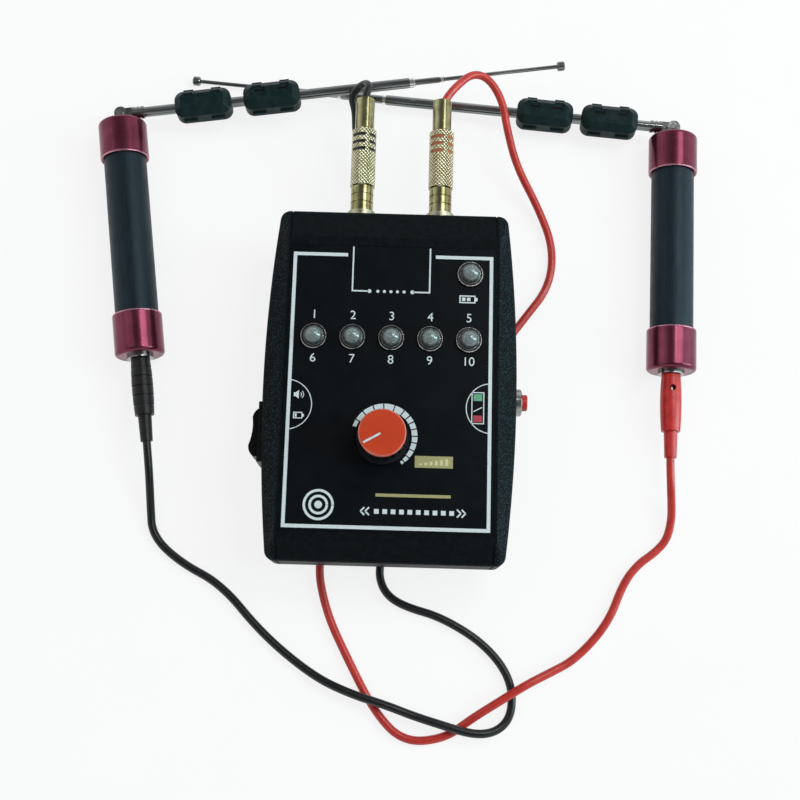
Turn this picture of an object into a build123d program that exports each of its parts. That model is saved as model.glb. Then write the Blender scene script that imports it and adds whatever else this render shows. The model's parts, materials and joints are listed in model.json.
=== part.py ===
from build123d import *
import os
from math import cos, pi, radians, sin, tan

os.makedirs("parts", exist_ok=True)

# Case: barrel-sided handheld box in two shells, resting on four feet
case_y = -39.2
case_length = 142.0
case_end_width = 92.0
case_mid_width = 100.4
case_corner = 4.0
case_wall = 2.5
foot_height = 7.5
foot_diameter = 9.0
foot_taper = 3.0
foot_spacing_x = 73.0
foot_spacing_y = 92.0
lower_height = 9.0
lower_taper = 4.0
floor_thickness = 3.6
upper_wall_height = 18.0
bevel_height = 5.0
top_thickness = 3.0
top_band = 12.5
bottom_band = 7.5
ledge_width = 85.0
ledge_corner = 1.5
shoulder_round = 2.0
groove_width = 0.6
groove_depth = 0.5
groove_inset = 1.0
seat_fit = 0.1

# Front label
label_width = 82.4
label_length = 114.4
label_corner = 1.0
label_thickness = 0.5
label_recess = 0.6

# Case screws and their bosses
screw_spacing_x = 75.0
screw_spacing_y = 120.0
boss_diameter = 7.6
screw_diameter = 2.9
screw_head_diameter = 5.5
screw_head_height = 2.2
screw_sink = 3.0
screw_grip = 10.0
screw_spare = 1.0

# Indicator lamps: a row of five and one for the battery
led_pitch = 15.3
led_row_y = 16.9
battery_led_x = 30.8
battery_led_y = 43.9
led_diameter = 7.6
led_height = 5.4
led_rim_diameter = 8.8
led_rim_height = 1.0
led_leg = 0.6
led_leg_gap = 2.54
bezel_barrel_diameter = 9.0
bezel_barrel_length = 5.4
bezel_flange_diameter = 10.2
bezel_flange_height = 1.2

# Rotary control
knob_x = -2.2
knob_y = -23.6
pot_diameter = 16.5
pot_height = 8.5
bush_diameter = 6.8
bush_height = 6.5
nut_across = 10.4
nut_height = 2.2
shaft_diameter = 6.0
shaft_length = 13.0
shaft_foot = 1.5
knob_lift = 0.8
skirt_diameter = 20.4
skirt_height = 2.0
knob_diameter = 17.6
knob_draft = 2.0
knob_body_height = 10.2
knob_hollow_diameter = 14.0
knob_hollow_height = 3.8
cap_diameter = 18.2
cap_height = 2.2
cap_round = 0.6
pointer_angle = 210.0
pointer_start = 0.6
pointer_end = 8.2
pointer_width = 0.9
pointer_depth = 0.4
flute_count = 18
flute_diameter = 1.6

# Rocker switch on the left wall
rocker_y = -20.7
side_z = 25.5
rocker_frame_length = 24.0
rocker_frame_height = 16.0
rocker_frame_thickness = 2.0
rocker_body_length = 22.2
rocker_body_height = 13.0
rocker_body_depth = 13.0
rocker_seat_depth = 0.5
rocker_half_length = 9.8
rocker_height = 10.4
rocker_lobe = 5.0
rocker_lobe_place = 5.5
rocker_valley = 4.3
rocker_shoulder = 2.6
rocker_edge = 0.8
rocker_crest_round = 2.5
rocker_belly = 3.2
rocker_travel = 12.0
rocker_pivot_depth = 1.8
rocker_gap = 0.3
trunnion_diameter = 2.6
trunnion_length = 12.4

# Push button on the right wall
button_y = -4.8
button_collar_diameter = 11.0
button_collar_height = 2.7
button_bush_diameter = 8.0
button_bush_length = 16.0
button_nut_diameter = 11.0
button_nut_height = 2.4
button_cap_diameter = 6.6
button_cap_length = 8.0
button_proud = 2.3
button_travel = 2.0
button_round = 0.5

# Sockets in the top end and the gold plugs in them
socket_left_x = -14.0
socket_right_x = 18.6
socket_nut_diameter = 11.6
socket_nut_height = 2.8
socket_barrel_diameter = 8.0
socket_barrel_length = 9.6
socket_tail_diameter = 9.6
socket_tail_length = 8.0
contact_diameter = 3.2
contact_length = 8.5
plug_gap = 0.4
plug_web = 1.0
ferrule_diameter = 9.4
ferrule_groove = 0.35
plug_core_diameter = 7.4
plug_core_length = 10.0
barrel_diameter = 10.2
barrel_length = 26.0
barrel_chamfer = 0.6
band_depth = 0.25
band_width = 1.3
band_pitch = 3.2
band_start = 3.5
tail_diameter = 8.0
tail_length = 13.7
tail_mouth_diameter = 4.6
tail_mouth_depth = 2.0

# Inner pieces
board_width = 66.0
board_length = 56.0
board_y = 18.0
board_z = 24.0
board_thickness = 1.6
post_diameter = 5.0
post_spacing_x = 44.0
post_low_y = -5.0
post_high_y = 41.0
chip_width = 18.0
chip_length = 7.0
chip_height = 3.5
buzzer_x = -18.0
buzzer_y = 31.0
buzzer_diameter = 12.0
buzzer_height = 8.5
battery_length = 48.5
battery_width = 26.5
battery_height = 17.5
battery_y = -45.0
battery_fit = 0.4
battery_round = 1.5
snap_thickness = 5.0
snap_width = 24.0
snap_height = 13.0
rib_thickness = 1.5
door_width = 54.0
door_tongue = 2.0
door_plate = 1.3
door_length = 36.0
door_fit = 0.15
door_grip_ribs = 4
door_grip_pitch = 2.4

# Handles
handle_length = 105.0
handle_cap_diameter = 20.6
top_cap_length = 16.5
bottom_cap_length = 17.5
cap_socket_depth = 12.0
cap_edge_round = 1.6
grip_diameter = 18.0
grip_wall = 2.0
left_handle_x = -120.14
left_handle_y = 78.59
left_handle_heading = 98.4
right_handle_x = 119.86
right_handle_y = 79.2
right_handle_heading = 88.4

# Sockets and plugs at the lower end of the handles
banana_bush_diameter = 8.0
banana_bush_length = 22.0
banana_flange_diameter = 11.0
banana_flange_height = 1.2
banana_pin_diameter = 4.0
banana_pin_length = 18.0
banana_stem_length = 14.0
banana_sleeve_length = 35.0
banana_front_diameter = 7.8
banana_bulge_diameter = 8.8
banana_body_length = 24.0
banana_tail_diameter = 5.6
banana_tail_end_diameter = 5.0
banana_mouth_depth = 1.5
banana_rib_count = 5
banana_rib_depth = 0.35
grub_hole_diameter = 2.6
grub_hole_from_front = 6.0

# Elbow hinge between handle and aerial
pivot_height = 4.4
stud_diameter = 4.0
stud_length = 4.0
elbow_base_diameter = 7.0
elbow_base_height = 1.2
fork_radius = 2.7
fork_thickness = 5.0
fork_slot = 2.2
tongue_thickness = 2.0
tongue_radius = 2.5
hinge_pin_diameter = 1.8
hinge_pin_head_diameter = 3.0
hinge_pin_head_height = 0.5
ferrule_start = 5.0
elbow_ferrule_diameter = 5.4
elbow_ferrule_length = 5.0
elbow_ring_depth = 0.4
elbow_ring_width = 0.7

# Telescopic aerials: four sections each
tube_bore_start = 12.0
tube_diameter = 4.4
second_diameter = 3.5
third_diameter = 2.6
rod_diameter = 1.7
section_fit = 0.1
crimp_depth = 0.15
crimp_width = 0.6
crimp_inset = 1.8
second_length = 112.0
second_spare = 4.0
tube_end = tube_bore_start + second_length + second_spare
third_length = 110.0
rod_length = 108.0
tip_diameter = 4.0
tip_length = 3.2
left_aerial_heading = 7.5
left_aerial_tilt = 2.06
left_second_out = 1.0
left_third_out = 12.5
left_rod_out = 49.5
right_aerial_heading = 174.5
right_aerial_tilt = -2.17
right_second_out = 20.0
right_third_out = 33.0
right_rod_out = 29.0

# Clip-on ferrites
ferrite_length = 24.4
ferrite_size = 12.0
ferrite_chamfer = 2.8
ferrite_corner = 4.0
ferrite_core_length = 18.0
ferrite_core_size = 7.6
ferrite_split = 0.1
latch_width = 4.2
latch_thickness = 0.8
latch_height = 5.2
latch_spacing = 12.0
latch_window_width = 2.0
latch_window_depth = 1.5
latch_window_inset = 1.6
knuckle_diameter = 1.8
knuckle_width = 2.8
knuckle_spacing = 15.0
knuckle_gap = 0.1
knuckle_pin_diameter = 1.0
left_ferrite_starts = (24.0, 54.0)
right_ferrite_starts = (15.8, 44.0)

# Leads
lead_diameter = 3.4
lead_low = 1.8
lead_over = 5.8
lead_under_case = 5.5
lead_exit = 4.6
running_fit = 0.05

# Heights of the case and of the handles' axes
floor_z = foot_height
parting_z = floor_z + lower_height
shoulder_z = parting_z + upper_wall_height
ledge_z = shoulder_z + bevel_height
ceiling_z = ledge_z - top_thickness
bed_z = ledge_z - label_recess
label_z = bed_z + label_thickness
handle_z = handle_cap_diameter / 2
ledge_length = case_length - top_band - bottom_band
ledge_y = (bottom_band - top_band) / 2
end_y = case_length / 2
led_places = [(led_pitch * step, led_row_y) for step in range(-2, 3)] + [(battery_led_x, battery_led_y)]
post_places = [(side * post_spacing_x / 2, y) for side in (-1, 1) for y in (post_low_y, post_high_y)]


def write(piece, name):
    """Label a finished piece and write its file."""
    piece.part.label = name
    export_step(piece.part, f"parts/{name}.step")


def level(z):
    """Horizontal plane at height z, centred on the case."""
    return Plane((0, case_y, z))


def barrel(inset):
    """Barrel outline of the case, inset from its outer wall."""
    half_end = case_end_width / 2 - inset
    half_mid = case_mid_width / 2 - inset
    half_length = case_length / 2 - inset
    with BuildSketch(mode=Mode.PRIVATE) as outline:
        with BuildLine():
            Line((-half_end, half_length), (half_end, half_length))
            ThreePointArc((half_end, half_length), (half_mid, 0), (half_end, -half_length))
            Line((half_end, -half_length), (-half_end, -half_length))
            ThreePointArc((-half_end, -half_length), (-half_mid, 0), (-half_end, half_length))
        make_face()
        fillet(outline.vertices(), max(case_corner - inset, ledge_corner))
    return outline.sketch


def ledge(inset):
    """Straight-sided outline of the flat front, inset from its edge."""
    with BuildSketch(mode=Mode.PRIVATE) as outline:
        with Locations((0, ledge_y)):
            RectangleRounded(ledge_width - 2 * inset, ledge_length - 2 * inset, ledge_corner)
    return outline.sketch


def wall_x(y):
    """Half width of the barrel outline at a distance y from the case's centre."""
    bulge = (case_mid_width - case_end_width) / 2
    radius = ((case_length / 2) ** 2 + bulge ** 2) / (2 * bulge)
    return case_mid_width / 2 - radius + (radius ** 2 - y ** 2) ** 0.5


def outline(*points):
    """Closed straight-sided profile through the points."""
    with BuildSketch(mode=Mode.PRIVATE) as profile:
        with BuildLine():
            Polyline(*points, close=True)
        make_face()
    return profile.sketch


def spin(plane):
    """Axis along a plane's Y direction, about which a profile on it is turned."""
    return Axis(plane.origin, plane.y_dir)


rocker_seat_x = wall_x(rocker_y) - rocker_seat_depth
button_seat_x = wall_x(button_y) - seat_fit
rocker_plane = Plane((-rocker_seat_x, case_y + rocker_y, side_z), x_dir=(0, 1, 0), z_dir=(-1, 0, 0))
button_plane = Plane((button_seat_x, case_y + button_y, side_z), x_dir=(0, 0, 1), z_dir=(0, 1, 0))
socket_planes = {
    "left": Plane((socket_left_x, case_y + end_y, side_z), x_dir=(0, 0, 1), z_dir=(-1, 0, 0)),
    "right": Plane((socket_right_x, case_y + end_y, side_z), x_dir=(0, 0, 1), z_dir=(-1, 0, 0)),
}

# Upper shell, with the bevelled front, the label bed and the bosses inside
with BuildPart() as upper_case:
    with BuildSketch(level(parting_z)):
        add(barrel(0))
    extrude(amount=upper_wall_height)
    with BuildSketch(level(shoulder_z)):
        add(barrel(0))
    with BuildSketch(level(ledge_z)):
        add(ledge(0))
    loft(ruled=True)
    fillet(upper_case.edges().filter_by_position(Axis.Z, shoulder_z, shoulder_z), shoulder_round)
    with BuildSketch(level(parting_z)):
        add(barrel(case_wall))
    extrude(amount=upper_wall_height - case_wall / 2, mode=Mode.SUBTRACT)
    with BuildSketch(level(shoulder_z - case_wall / 2)):
        add(barrel(case_wall))
    with BuildSketch(level(ceiling_z)):
        add(ledge(case_wall))
    loft(ruled=True, mode=Mode.SUBTRACT)
    with BuildSketch(level(parting_z)):
        with GridLocations(screw_spacing_x, screw_spacing_y, 2, 2):
            Circle(boss_diameter / 2)
    extrude(amount=ceiling_z - parting_z + seat_fit)
    with BuildSketch(level(board_z + board_thickness)):
        with Locations(*post_places):
            Circle(post_diameter / 2)
    extrude(amount=ceiling_z - board_z - board_thickness + seat_fit)
    with BuildSketch(level(parting_z)):
        with GridLocations(screw_spacing_x, screw_spacing_y, 2, 2):
            Circle(screw_diameter / 2 + running_fit)
    extrude(amount=screw_grip + screw_spare, mode=Mode.SUBTRACT)
    with BuildSketch(level(ledge_z)):
        with Locations((0, ledge_y)):
            RectangleRounded(label_width + 2 * seat_fit, label_length + 2 * seat_fit, label_corner)
    extrude(amount=-label_recess, mode=Mode.SUBTRACT)
    with BuildSketch(level(ledge_z)):
        with Locations(*led_places):
            Circle(bezel_barrel_diameter / 2 + running_fit)
        with Locations((knob_x, knob_y)):
            Circle(bush_diameter / 2 + seat_fit)
    extrude(amount=-2 * top_thickness, mode=Mode.SUBTRACT)
    with BuildSketch(rocker_plane):
        Rectangle(rocker_frame_length + 4 * seat_fit, rocker_frame_height + 4 * seat_fit)
    extrude(amount=case_wall, mode=Mode.SUBTRACT)
    with BuildSketch(rocker_plane):
        Rectangle(rocker_body_length + 2 * seat_fit, rocker_body_height + 2 * seat_fit)
    extrude(amount=-2 * case_wall, mode=Mode.SUBTRACT)
    with BuildSketch(Plane(button_plane.origin, z_dir=(1, 0, 0))):
        Circle(button_collar_diameter / 2 + seat_fit)
    extrude(amount=case_wall, mode=Mode.SUBTRACT)
    with BuildSketch(Plane(button_plane.origin, z_dir=(1, 0, 0))):
        Circle(button_bush_diameter / 2 + seat_fit)
    extrude(amount=-2 * case_wall, mode=Mode.SUBTRACT)
    for plane in socket_planes.values():
        with BuildSketch(Plane(plane.origin, z_dir=(0, -1, 0))):
            Circle(socket_barrel_diameter / 2 + seat_fit)
        extrude(amount=2 * case_wall, mode=Mode.SUBTRACT)
    for facing, band in ((1, top_band), (-1, bottom_band)):
        ledge_edge = facing * (end_y - band)
        sunk_edge = facing * (end_y - groove_depth)
        clear_edge = facing * (end_y + case_wall)
        for side in (-1, 1):
            groove_x = side * (ledge_width / 2 - groove_inset)
            with BuildSketch(Plane((groove_x, case_y, 0), x_dir=(0, 1, 0), z_dir=(1, 0, 0))):
                add(outline((ledge_edge, ledge_z - groove_depth), (sunk_edge, shoulder_z - groove_depth),
                            (sunk_edge, parting_z), (clear_edge, parting_z),
                            (clear_edge, ledge_z + groove_depth), (ledge_edge, ledge_z + groove_depth)))
            extrude(amount=groove_width / 2, both=True, mode=Mode.SUBTRACT)
write(upper_case, "upper_case")

# Lower shell, with the screw bosses, the battery bay and the slot for its door
slot_end = battery_y + battery_width / 2 + battery_fit + rib_thickness
slot_y = (slot_end - end_y - case_wall) / 2
slot_length = slot_end + end_y + case_wall
bay_top = floor_z + floor_thickness
with BuildPart() as lower_case:
    with BuildSketch(level(floor_z)):
        add(barrel(lower_taper))
    with BuildSketch(level(parting_z)):
        add(barrel(0))
    loft(ruled=True)
    with BuildSketch(level(bay_top)):
        add(barrel(lower_taper + case_wall))
    with BuildSketch(level(parting_z)):
        add(barrel(case_wall))
    loft(ruled=True, mode=Mode.SUBTRACT)
    with BuildSketch(level(bay_top - seat_fit)):
        with GridLocations(screw_spacing_x, screw_spacing_y, 2, 2):
            Circle(boss_diameter / 2)
        with Locations((0, battery_y)):
            Rectangle(battery_length + 2 * (battery_fit + rib_thickness),
                      battery_width + 2 * (battery_fit + rib_thickness))
            Rectangle(battery_length + 2 * (battery_fit + snap_thickness), snap_width, mode=Mode.SUBTRACT)
    extrude(amount=parting_z - bay_top + seat_fit)
    with BuildSketch(level(floor_z)):
        with Locations((0, battery_y)):
            Rectangle(battery_length + 2 * battery_fit, battery_width + 2 * battery_fit)
        with GridLocations(screw_spacing_x, screw_spacing_y, 2, 2):
            Circle(screw_diameter / 2 + seat_fit)
    extrude(amount=lower_height, mode=Mode.SUBTRACT)
    with BuildSketch(level(floor_z)):
        with GridLocations(screw_spacing_x, screw_spacing_y, 2, 2):
            Circle(screw_head_diameter / 2 + seat_fit)
    extrude(amount=screw_sink, mode=Mode.SUBTRACT)
    with BuildSketch(level(floor_z)):
        with Locations((0, slot_y)):
            Rectangle(door_width + 2 * door_fit, slot_length)
    extrude(amount=door_plate, mode=Mode.SUBTRACT)
    with BuildSketch(level(floor_z + door_plate)):
        with Locations((0, slot_y)):
            Rectangle(door_width + 2 * (door_tongue + door_fit), slot_length)
    extrude(amount=door_plate + door_fit, mode=Mode.SUBTRACT)
write(lower_case, "lower_case")

# Sliding battery door: a plate with wider tongues above it and grip ribs on the outside
door_y = slot_end - door_fit - door_length / 2
with BuildPart() as battery_door:
    with BuildSketch(level(floor_z + door_fit)):
        with Locations((0, door_y)):
            Rectangle(door_width, door_length)
    extrude(amount=door_plate - door_fit + running_fit)
    with BuildSketch(level(floor_z + door_plate + running_fit)):
        with Locations((0, door_y)):
            Rectangle(door_width + 2 * door_tongue, door_length)
    extrude(amount=door_plate - running_fit)
    with BuildSketch(level(floor_z + door_fit)):
        with Locations((0, door_y - door_length / 4)):
            with GridLocations(0, door_grip_pitch, 1, door_grip_ribs):
                SlotOverall(door_width / 3, door_grip_pitch / 2)
    extrude(amount=door_plate / 2, mode=Mode.SUBTRACT)
write(battery_door, "battery_door")

# Rubber feet
with BuildPart() as rubber_feet:
    with BuildSketch(level(floor_z)):
        with GridLocations(foot_spacing_x, foot_spacing_y, 2, 2):
            Circle(foot_diameter / 2)
    extrude(amount=-foot_height, taper=foot_taper)
write(rubber_feet, "rubber_feet")

# Case screws, sunk in the lower shell and driven into the upper bosses
screw_head_z = floor_z + screw_sink - screw_head_height
with BuildPart() as case_screws:
    with BuildSketch(level(screw_head_z)):
        with GridLocations(screw_spacing_x, screw_spacing_y, 2, 2):
            Circle(screw_head_diameter / 2)
    extrude(amount=screw_head_height)
    with BuildSketch(level(screw_head_z + screw_head_height)):
        with GridLocations(screw_spacing_x, screw_spacing_y, 2, 2):
            Circle(screw_diameter / 2)
    extrude(amount=parting_z + screw_grip - screw_head_z - screw_head_height)
    with BuildSketch(level(screw_head_z)):
        with GridLocations(screw_spacing_x, screw_spacing_y, 2, 2):
            Rectangle(screw_head_diameter / 2, screw_head_diameter / 8)
            Rectangle(screw_head_diameter / 8, screw_head_diameter / 2)
    extrude(amount=screw_head_height / 2, mode=Mode.SUBTRACT)
write(case_screws, "case_screws")

# Front label, a stiff printed sheet in the bed
with BuildPart() as front_label:
    with BuildSketch(level(bed_z)):
        with Locations((0, ledge_y)):
            RectangleRounded(label_width, label_length, label_corner)
        with Locations(*led_places):
            Circle(bezel_barrel_diameter / 2 + seat_fit, mode=Mode.SUBTRACT)
        with Locations((knob_x, knob_y)):
            Circle(bush_diameter / 2 + seat_fit, mode=Mode.SUBTRACT)
    extrude(amount=label_thickness)
write(front_label, "front_label")

# Lamp holders and lamps
with BuildPart() as led_bezels:
    with BuildSketch(level(label_z - bezel_barrel_length)):
        with Locations(*led_places):
            Circle(bezel_barrel_diameter / 2)
    extrude(amount=bezel_barrel_length)
    with BuildSketch(level(label_z)):
        with Locations(*led_places):
            Circle(bezel_flange_diameter / 2)
    extrude(amount=bezel_flange_height, taper=10)
    with BuildSketch(level(label_z - bezel_barrel_length)):
        with Locations(*led_places):
            Circle(led_diameter / 2 + running_fit)
    extrude(amount=bezel_barrel_length + bezel_flange_height, mode=Mode.SUBTRACT)
write(led_bezels, "led_bezels")

led_foot_z = label_z - bezel_barrel_length - led_rim_height
led_radius = led_diameter / 2
board_top = board_z + board_thickness
with BuildPart() as indicator_leds:
    for x, y in led_places:
        axis_plane = Plane((x, case_y + y, led_foot_z), x_dir=(1, 0, 0), z_dir=(0, -1, 0))
        dome_z = label_z + led_height - led_foot_z
        with BuildSketch(axis_plane):
            with BuildLine():
                Polyline((0, dome_z), (0, 0), (led_rim_diameter / 2, 0),
                         (led_rim_diameter / 2, led_rim_height),
                         (led_radius, led_rim_height), (led_radius, dome_z - led_radius))
                RadiusArc((led_radius, dome_z - led_radius), (0, dome_z), -led_radius)
            make_face()
        revolve(axis=spin(axis_plane))
    with BuildSketch(level(board_top)):
        with Locations(*led_places):
            with GridLocations(led_leg_gap, 0, 2, 1):
                Rectangle(led_leg, led_leg)
    extrude(amount=led_foot_z - board_top)
write(indicator_leds, "indicator_leds")

# Circuit board on the posts of the upper shell, with two chips, and the buzzer beside them
with BuildPart() as circuit_board:
    with BuildSketch(level(board_z)):
        with Locations((0, board_y)):
            Rectangle(board_width, board_length)
    extrude(amount=board_thickness)
    with BuildSketch(level(board_z)):
        with Locations((0, board_y)):
            with GridLocations(0, 2 * chip_length, 1, 2):
                Rectangle(chip_width, chip_length)
    extrude(amount=-chip_height)
write(circuit_board, "circuit_board")

with BuildPart() as buzzer:
    with BuildSketch(level(board_top)):
        with Locations((buzzer_x, buzzer_y)):
            Circle(buzzer_diameter / 2)
    extrude(amount=buzzer_height)
    with BuildSketch(level(board_top + buzzer_height)):
        with Locations((buzzer_x, buzzer_y)):
            Circle(buzzer_diameter / 8)
    extrude(amount=-buzzer_height / 4, mode=Mode.SUBTRACT)
write(buzzer, "buzzer")

# Block battery on the door, with its snap connector at one end
battery_z = floor_z + 2 * door_plate + running_fit
with BuildPart() as battery:
    with BuildSketch(level(battery_z)):
        with Locations((0, battery_y)):
            RectangleRounded(battery_length, battery_width, battery_round)
    extrude(amount=battery_height)
write(battery, "battery")

with BuildPart() as battery_snap:
    with BuildSketch(Plane((battery_length / 2, case_y + battery_y, battery_z + battery_height / 2),
                           x_dir=(0, 1, 0), z_dir=(1, 0, 0))):
        RectangleRounded(snap_width - 2 * seat_fit, snap_height, battery_round)
    extrude(amount=snap_thickness)
write(battery_snap, "battery_snap")

# Rotary control: can under the front, bush and nut through it, shaft with the knob on it
knob_place = (knob_x, knob_y)
with BuildPart() as pot_body:
    with BuildSketch(level(ceiling_z)):
        with Locations(knob_place):
            Circle(pot_diameter / 2)
    extrude(amount=-pot_height)
    with BuildSketch(level(ceiling_z)):
        with Locations(knob_place):
            Circle(bush_diameter / 2)
    extrude(amount=bush_height)
    with BuildSketch(level(ceiling_z + bush_height)):
        with Locations(knob_place):
            Circle(shaft_diameter / 2 + running_fit)
    extrude(amount=-bush_height + shaft_foot - running_fit, mode=Mode.SUBTRACT)
write(pot_body, "pot_body")

with BuildPart() as pot_nut:
    with BuildSketch(level(label_z)):
        with Locations(knob_place):
            RegularPolygon(nut_across / 2, 6, major_radius=False)
            Circle(bush_diameter / 2 + running_fit, mode=Mode.SUBTRACT)
    extrude(amount=nut_height)
write(pot_nut, "pot_nut")

shaft_z = ceiling_z + shaft_foot
skirt_z = label_z + knob_lift
knob_top_z = skirt_z + skirt_height + knob_body_height
with BuildPart() as pot_shaft:
    with BuildSketch(level(shaft_z)):
        with Locations(knob_place):
            Circle(shaft_diameter / 2)
    extrude(amount=shaft_length)
write(pot_shaft, "pot_shaft")

with BuildPart() as knob_skirt:
    with BuildSketch(level(skirt_z)):
        with Locations(knob_place):
            Circle(skirt_diameter / 2)
    extrude(amount=skirt_height)
    with BuildSketch(level(skirt_z + skirt_height)):
        with Locations(knob_place):
            Circle(knob_diameter / 2)
    extrude(amount=knob_body_height, taper=knob_draft)
    with BuildSketch(level(skirt_z + skirt_height)):
        with Locations(knob_place):
            with PolarLocations(knob_diameter / 2, flute_count):
                Circle(flute_diameter / 2)
    extrude(amount=knob_body_height, taper=knob_draft, mode=Mode.SUBTRACT)
    with BuildSketch(level(skirt_z)):
        with Locations(knob_place):
            Circle(knob_hollow_diameter / 2)
    extrude(amount=knob_hollow_height, mode=Mode.SUBTRACT)
    with BuildSketch(level(skirt_z)):
        with Locations(knob_place):
            Circle(shaft_diameter / 2 + running_fit)
    extrude(amount=shaft_z + shaft_length - skirt_z, mode=Mode.SUBTRACT)
write(knob_skirt, "knob_skirt")

with BuildPart() as knob_cap:
    with BuildSketch(level(knob_top_z)):
        with Locations(knob_place):
            Circle(cap_diameter / 2)
    extrude(amount=cap_height)
    fillet(knob_cap.edges().group_by(Axis.Z)[-1], cap_round)
    with BuildSketch(level(knob_top_z + cap_height)):
        with Locations(Location((knob_x, knob_y, 0), (0, 0, pointer_angle))):
            with Locations(((pointer_start + pointer_end) / 2, 0)):
                Rectangle(pointer_end - pointer_start, pointer_width)
    extrude(amount=-pointer_depth, mode=Mode.SUBTRACT)
write(knob_cap, "knob_cap")

# Rocker switch: frame clipped in the left wall, tilting paddle on two trunnions
rocker_pivot_x = rocker_seat_x + rocker_frame_thickness - rocker_pivot_depth
rocker_pivot = Plane((-rocker_pivot_x, case_y + rocker_y, side_z), x_dir=(0, 1, 0), z_dir=(0, 0, 1))
tilt = radians(rocker_travel / 2)
rocker_sweep = rocker_half_length * cos(tilt) + rocker_shoulder * sin(tilt)
with BuildPart() as rocker_frame:
    with BuildSketch(rocker_plane):
        Rectangle(rocker_frame_length, rocker_frame_height)
    extrude(amount=rocker_frame_thickness)
    with BuildSketch(rocker_plane):
        Rectangle(rocker_body_length, rocker_body_height)
    extrude(amount=-rocker_body_depth)
    with BuildSketch(rocker_plane.offset(rocker_frame_thickness)):
        Rectangle(2 * (rocker_sweep + rocker_gap), rocker_height + 2 * rocker_gap)
    extrude(amount=-rocker_pivot_depth - rocker_belly - 2 * rocker_gap, mode=Mode.SUBTRACT)
    with BuildSketch(rocker_pivot):
        Circle(trunnion_diameter / 2 + running_fit)
    extrude(amount=trunnion_length / 2 + running_fit, both=True, mode=Mode.SUBTRACT)
write(rocker_frame, "rocker_frame")

with BuildPart() as rocker:
    with BuildSketch(rocker_pivot.rotated((0, 0, -rocker_travel / 2))) as paddle:
        with BuildLine():
            ThreePointArc((-rocker_lobe_place, rocker_lobe), (0, rocker_valley),
                          (rocker_lobe_place, rocker_lobe))
            TangentArc((rocker_lobe_place, rocker_lobe), (rocker_half_length, rocker_shoulder),
                       tangent=(1, 0))
            TangentArc((-rocker_lobe_place, rocker_lobe), (-rocker_half_length, rocker_shoulder),
                       tangent=(-1, 0))
            Polyline((rocker_half_length, rocker_shoulder), (rocker_half_length, rocker_edge),
                     (trunnion_diameter, -rocker_belly), (-trunnion_diameter, -rocker_belly),
                     (-rocker_half_length, rocker_edge), (-rocker_half_length, rocker_shoulder))
        make_face()
        fillet(paddle.vertices().group_by(Axis.Y)[-1], rocker_crest_round)
    extrude(amount=rocker_height / 2, both=True)
    with BuildSketch(rocker_pivot):
        Circle(trunnion_diameter / 2)
    extrude(amount=trunnion_length / 2, both=True)
write(rocker, "rocker")

# Push button: collar and bush through the right wall, red cap sliding in it
button_bore = button_cap_diameter / 2 + running_fit
button_foot = button_collar_height + button_proud - button_cap_length
with BuildPart() as button_bush:
    with BuildSketch(button_plane):
        add(outline((0, -button_bush_length), (button_bush_diameter / 2, -button_bush_length),
                    (button_bush_diameter / 2, -case_wall - button_nut_height),
                    (button_nut_diameter / 2, -case_wall - button_nut_height),
                    (button_nut_diameter / 2, -case_wall), (button_bush_diameter / 2, -case_wall),
                    (button_bush_diameter / 2, 0), (button_collar_diameter / 2, 0),
                    (button_collar_diameter / 2, button_collar_height - button_round),
                    (button_collar_diameter / 2 - button_round, button_collar_height),
                    (button_bore, button_collar_height),
                    (button_bore, button_foot - button_travel - rocker_gap),
                    (0, button_foot - button_travel - rocker_gap)))
    revolve(axis=spin(button_plane))
write(button_bush, "button_bush")

with BuildPart() as button_cap:
    with BuildSketch(Plane(button_plane.origin, z_dir=(1, 0, 0)).offset(button_foot)):
        Circle(button_cap_diameter / 2)
    extrude(amount=button_cap_length)
    fillet(button_cap.edges().group_by(Axis.X)[-1], button_round)
write(button_cap, "button_cap")

# Sockets in the top end and the gold plugs pushed on them
barrel_end = socket_nut_height + socket_barrel_length
plug_front = socket_nut_height + plug_gap
shell_front = barrel_end + plug_gap + plug_web
barrel_back = shell_front + barrel_length
tail_back = barrel_back + tail_length
with BuildPart() as jack_sockets:
    for plane in socket_planes.values():
        with BuildSketch(plane):
            add(outline((0, -case_wall - socket_tail_length),
                        (socket_tail_diameter / 2, -case_wall - socket_tail_length),
                        (socket_tail_diameter / 2, -case_wall), (socket_barrel_diameter / 2, -case_wall),
                        (socket_barrel_diameter / 2, 0), (socket_nut_diameter / 2, 0),
                        (socket_nut_diameter / 2, socket_nut_height),
                        (socket_barrel_diameter / 2, socket_nut_height),
                        (socket_barrel_diameter / 2, barrel_end),
                        (contact_diameter / 2 + running_fit, barrel_end),
                        (contact_diameter / 2 + running_fit, barrel_end - contact_length - plug_gap),
                        (0, barrel_end - contact_length - plug_gap)))
        revolve(axis=spin(plane))
write(jack_sockets, "jack_sockets")

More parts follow.
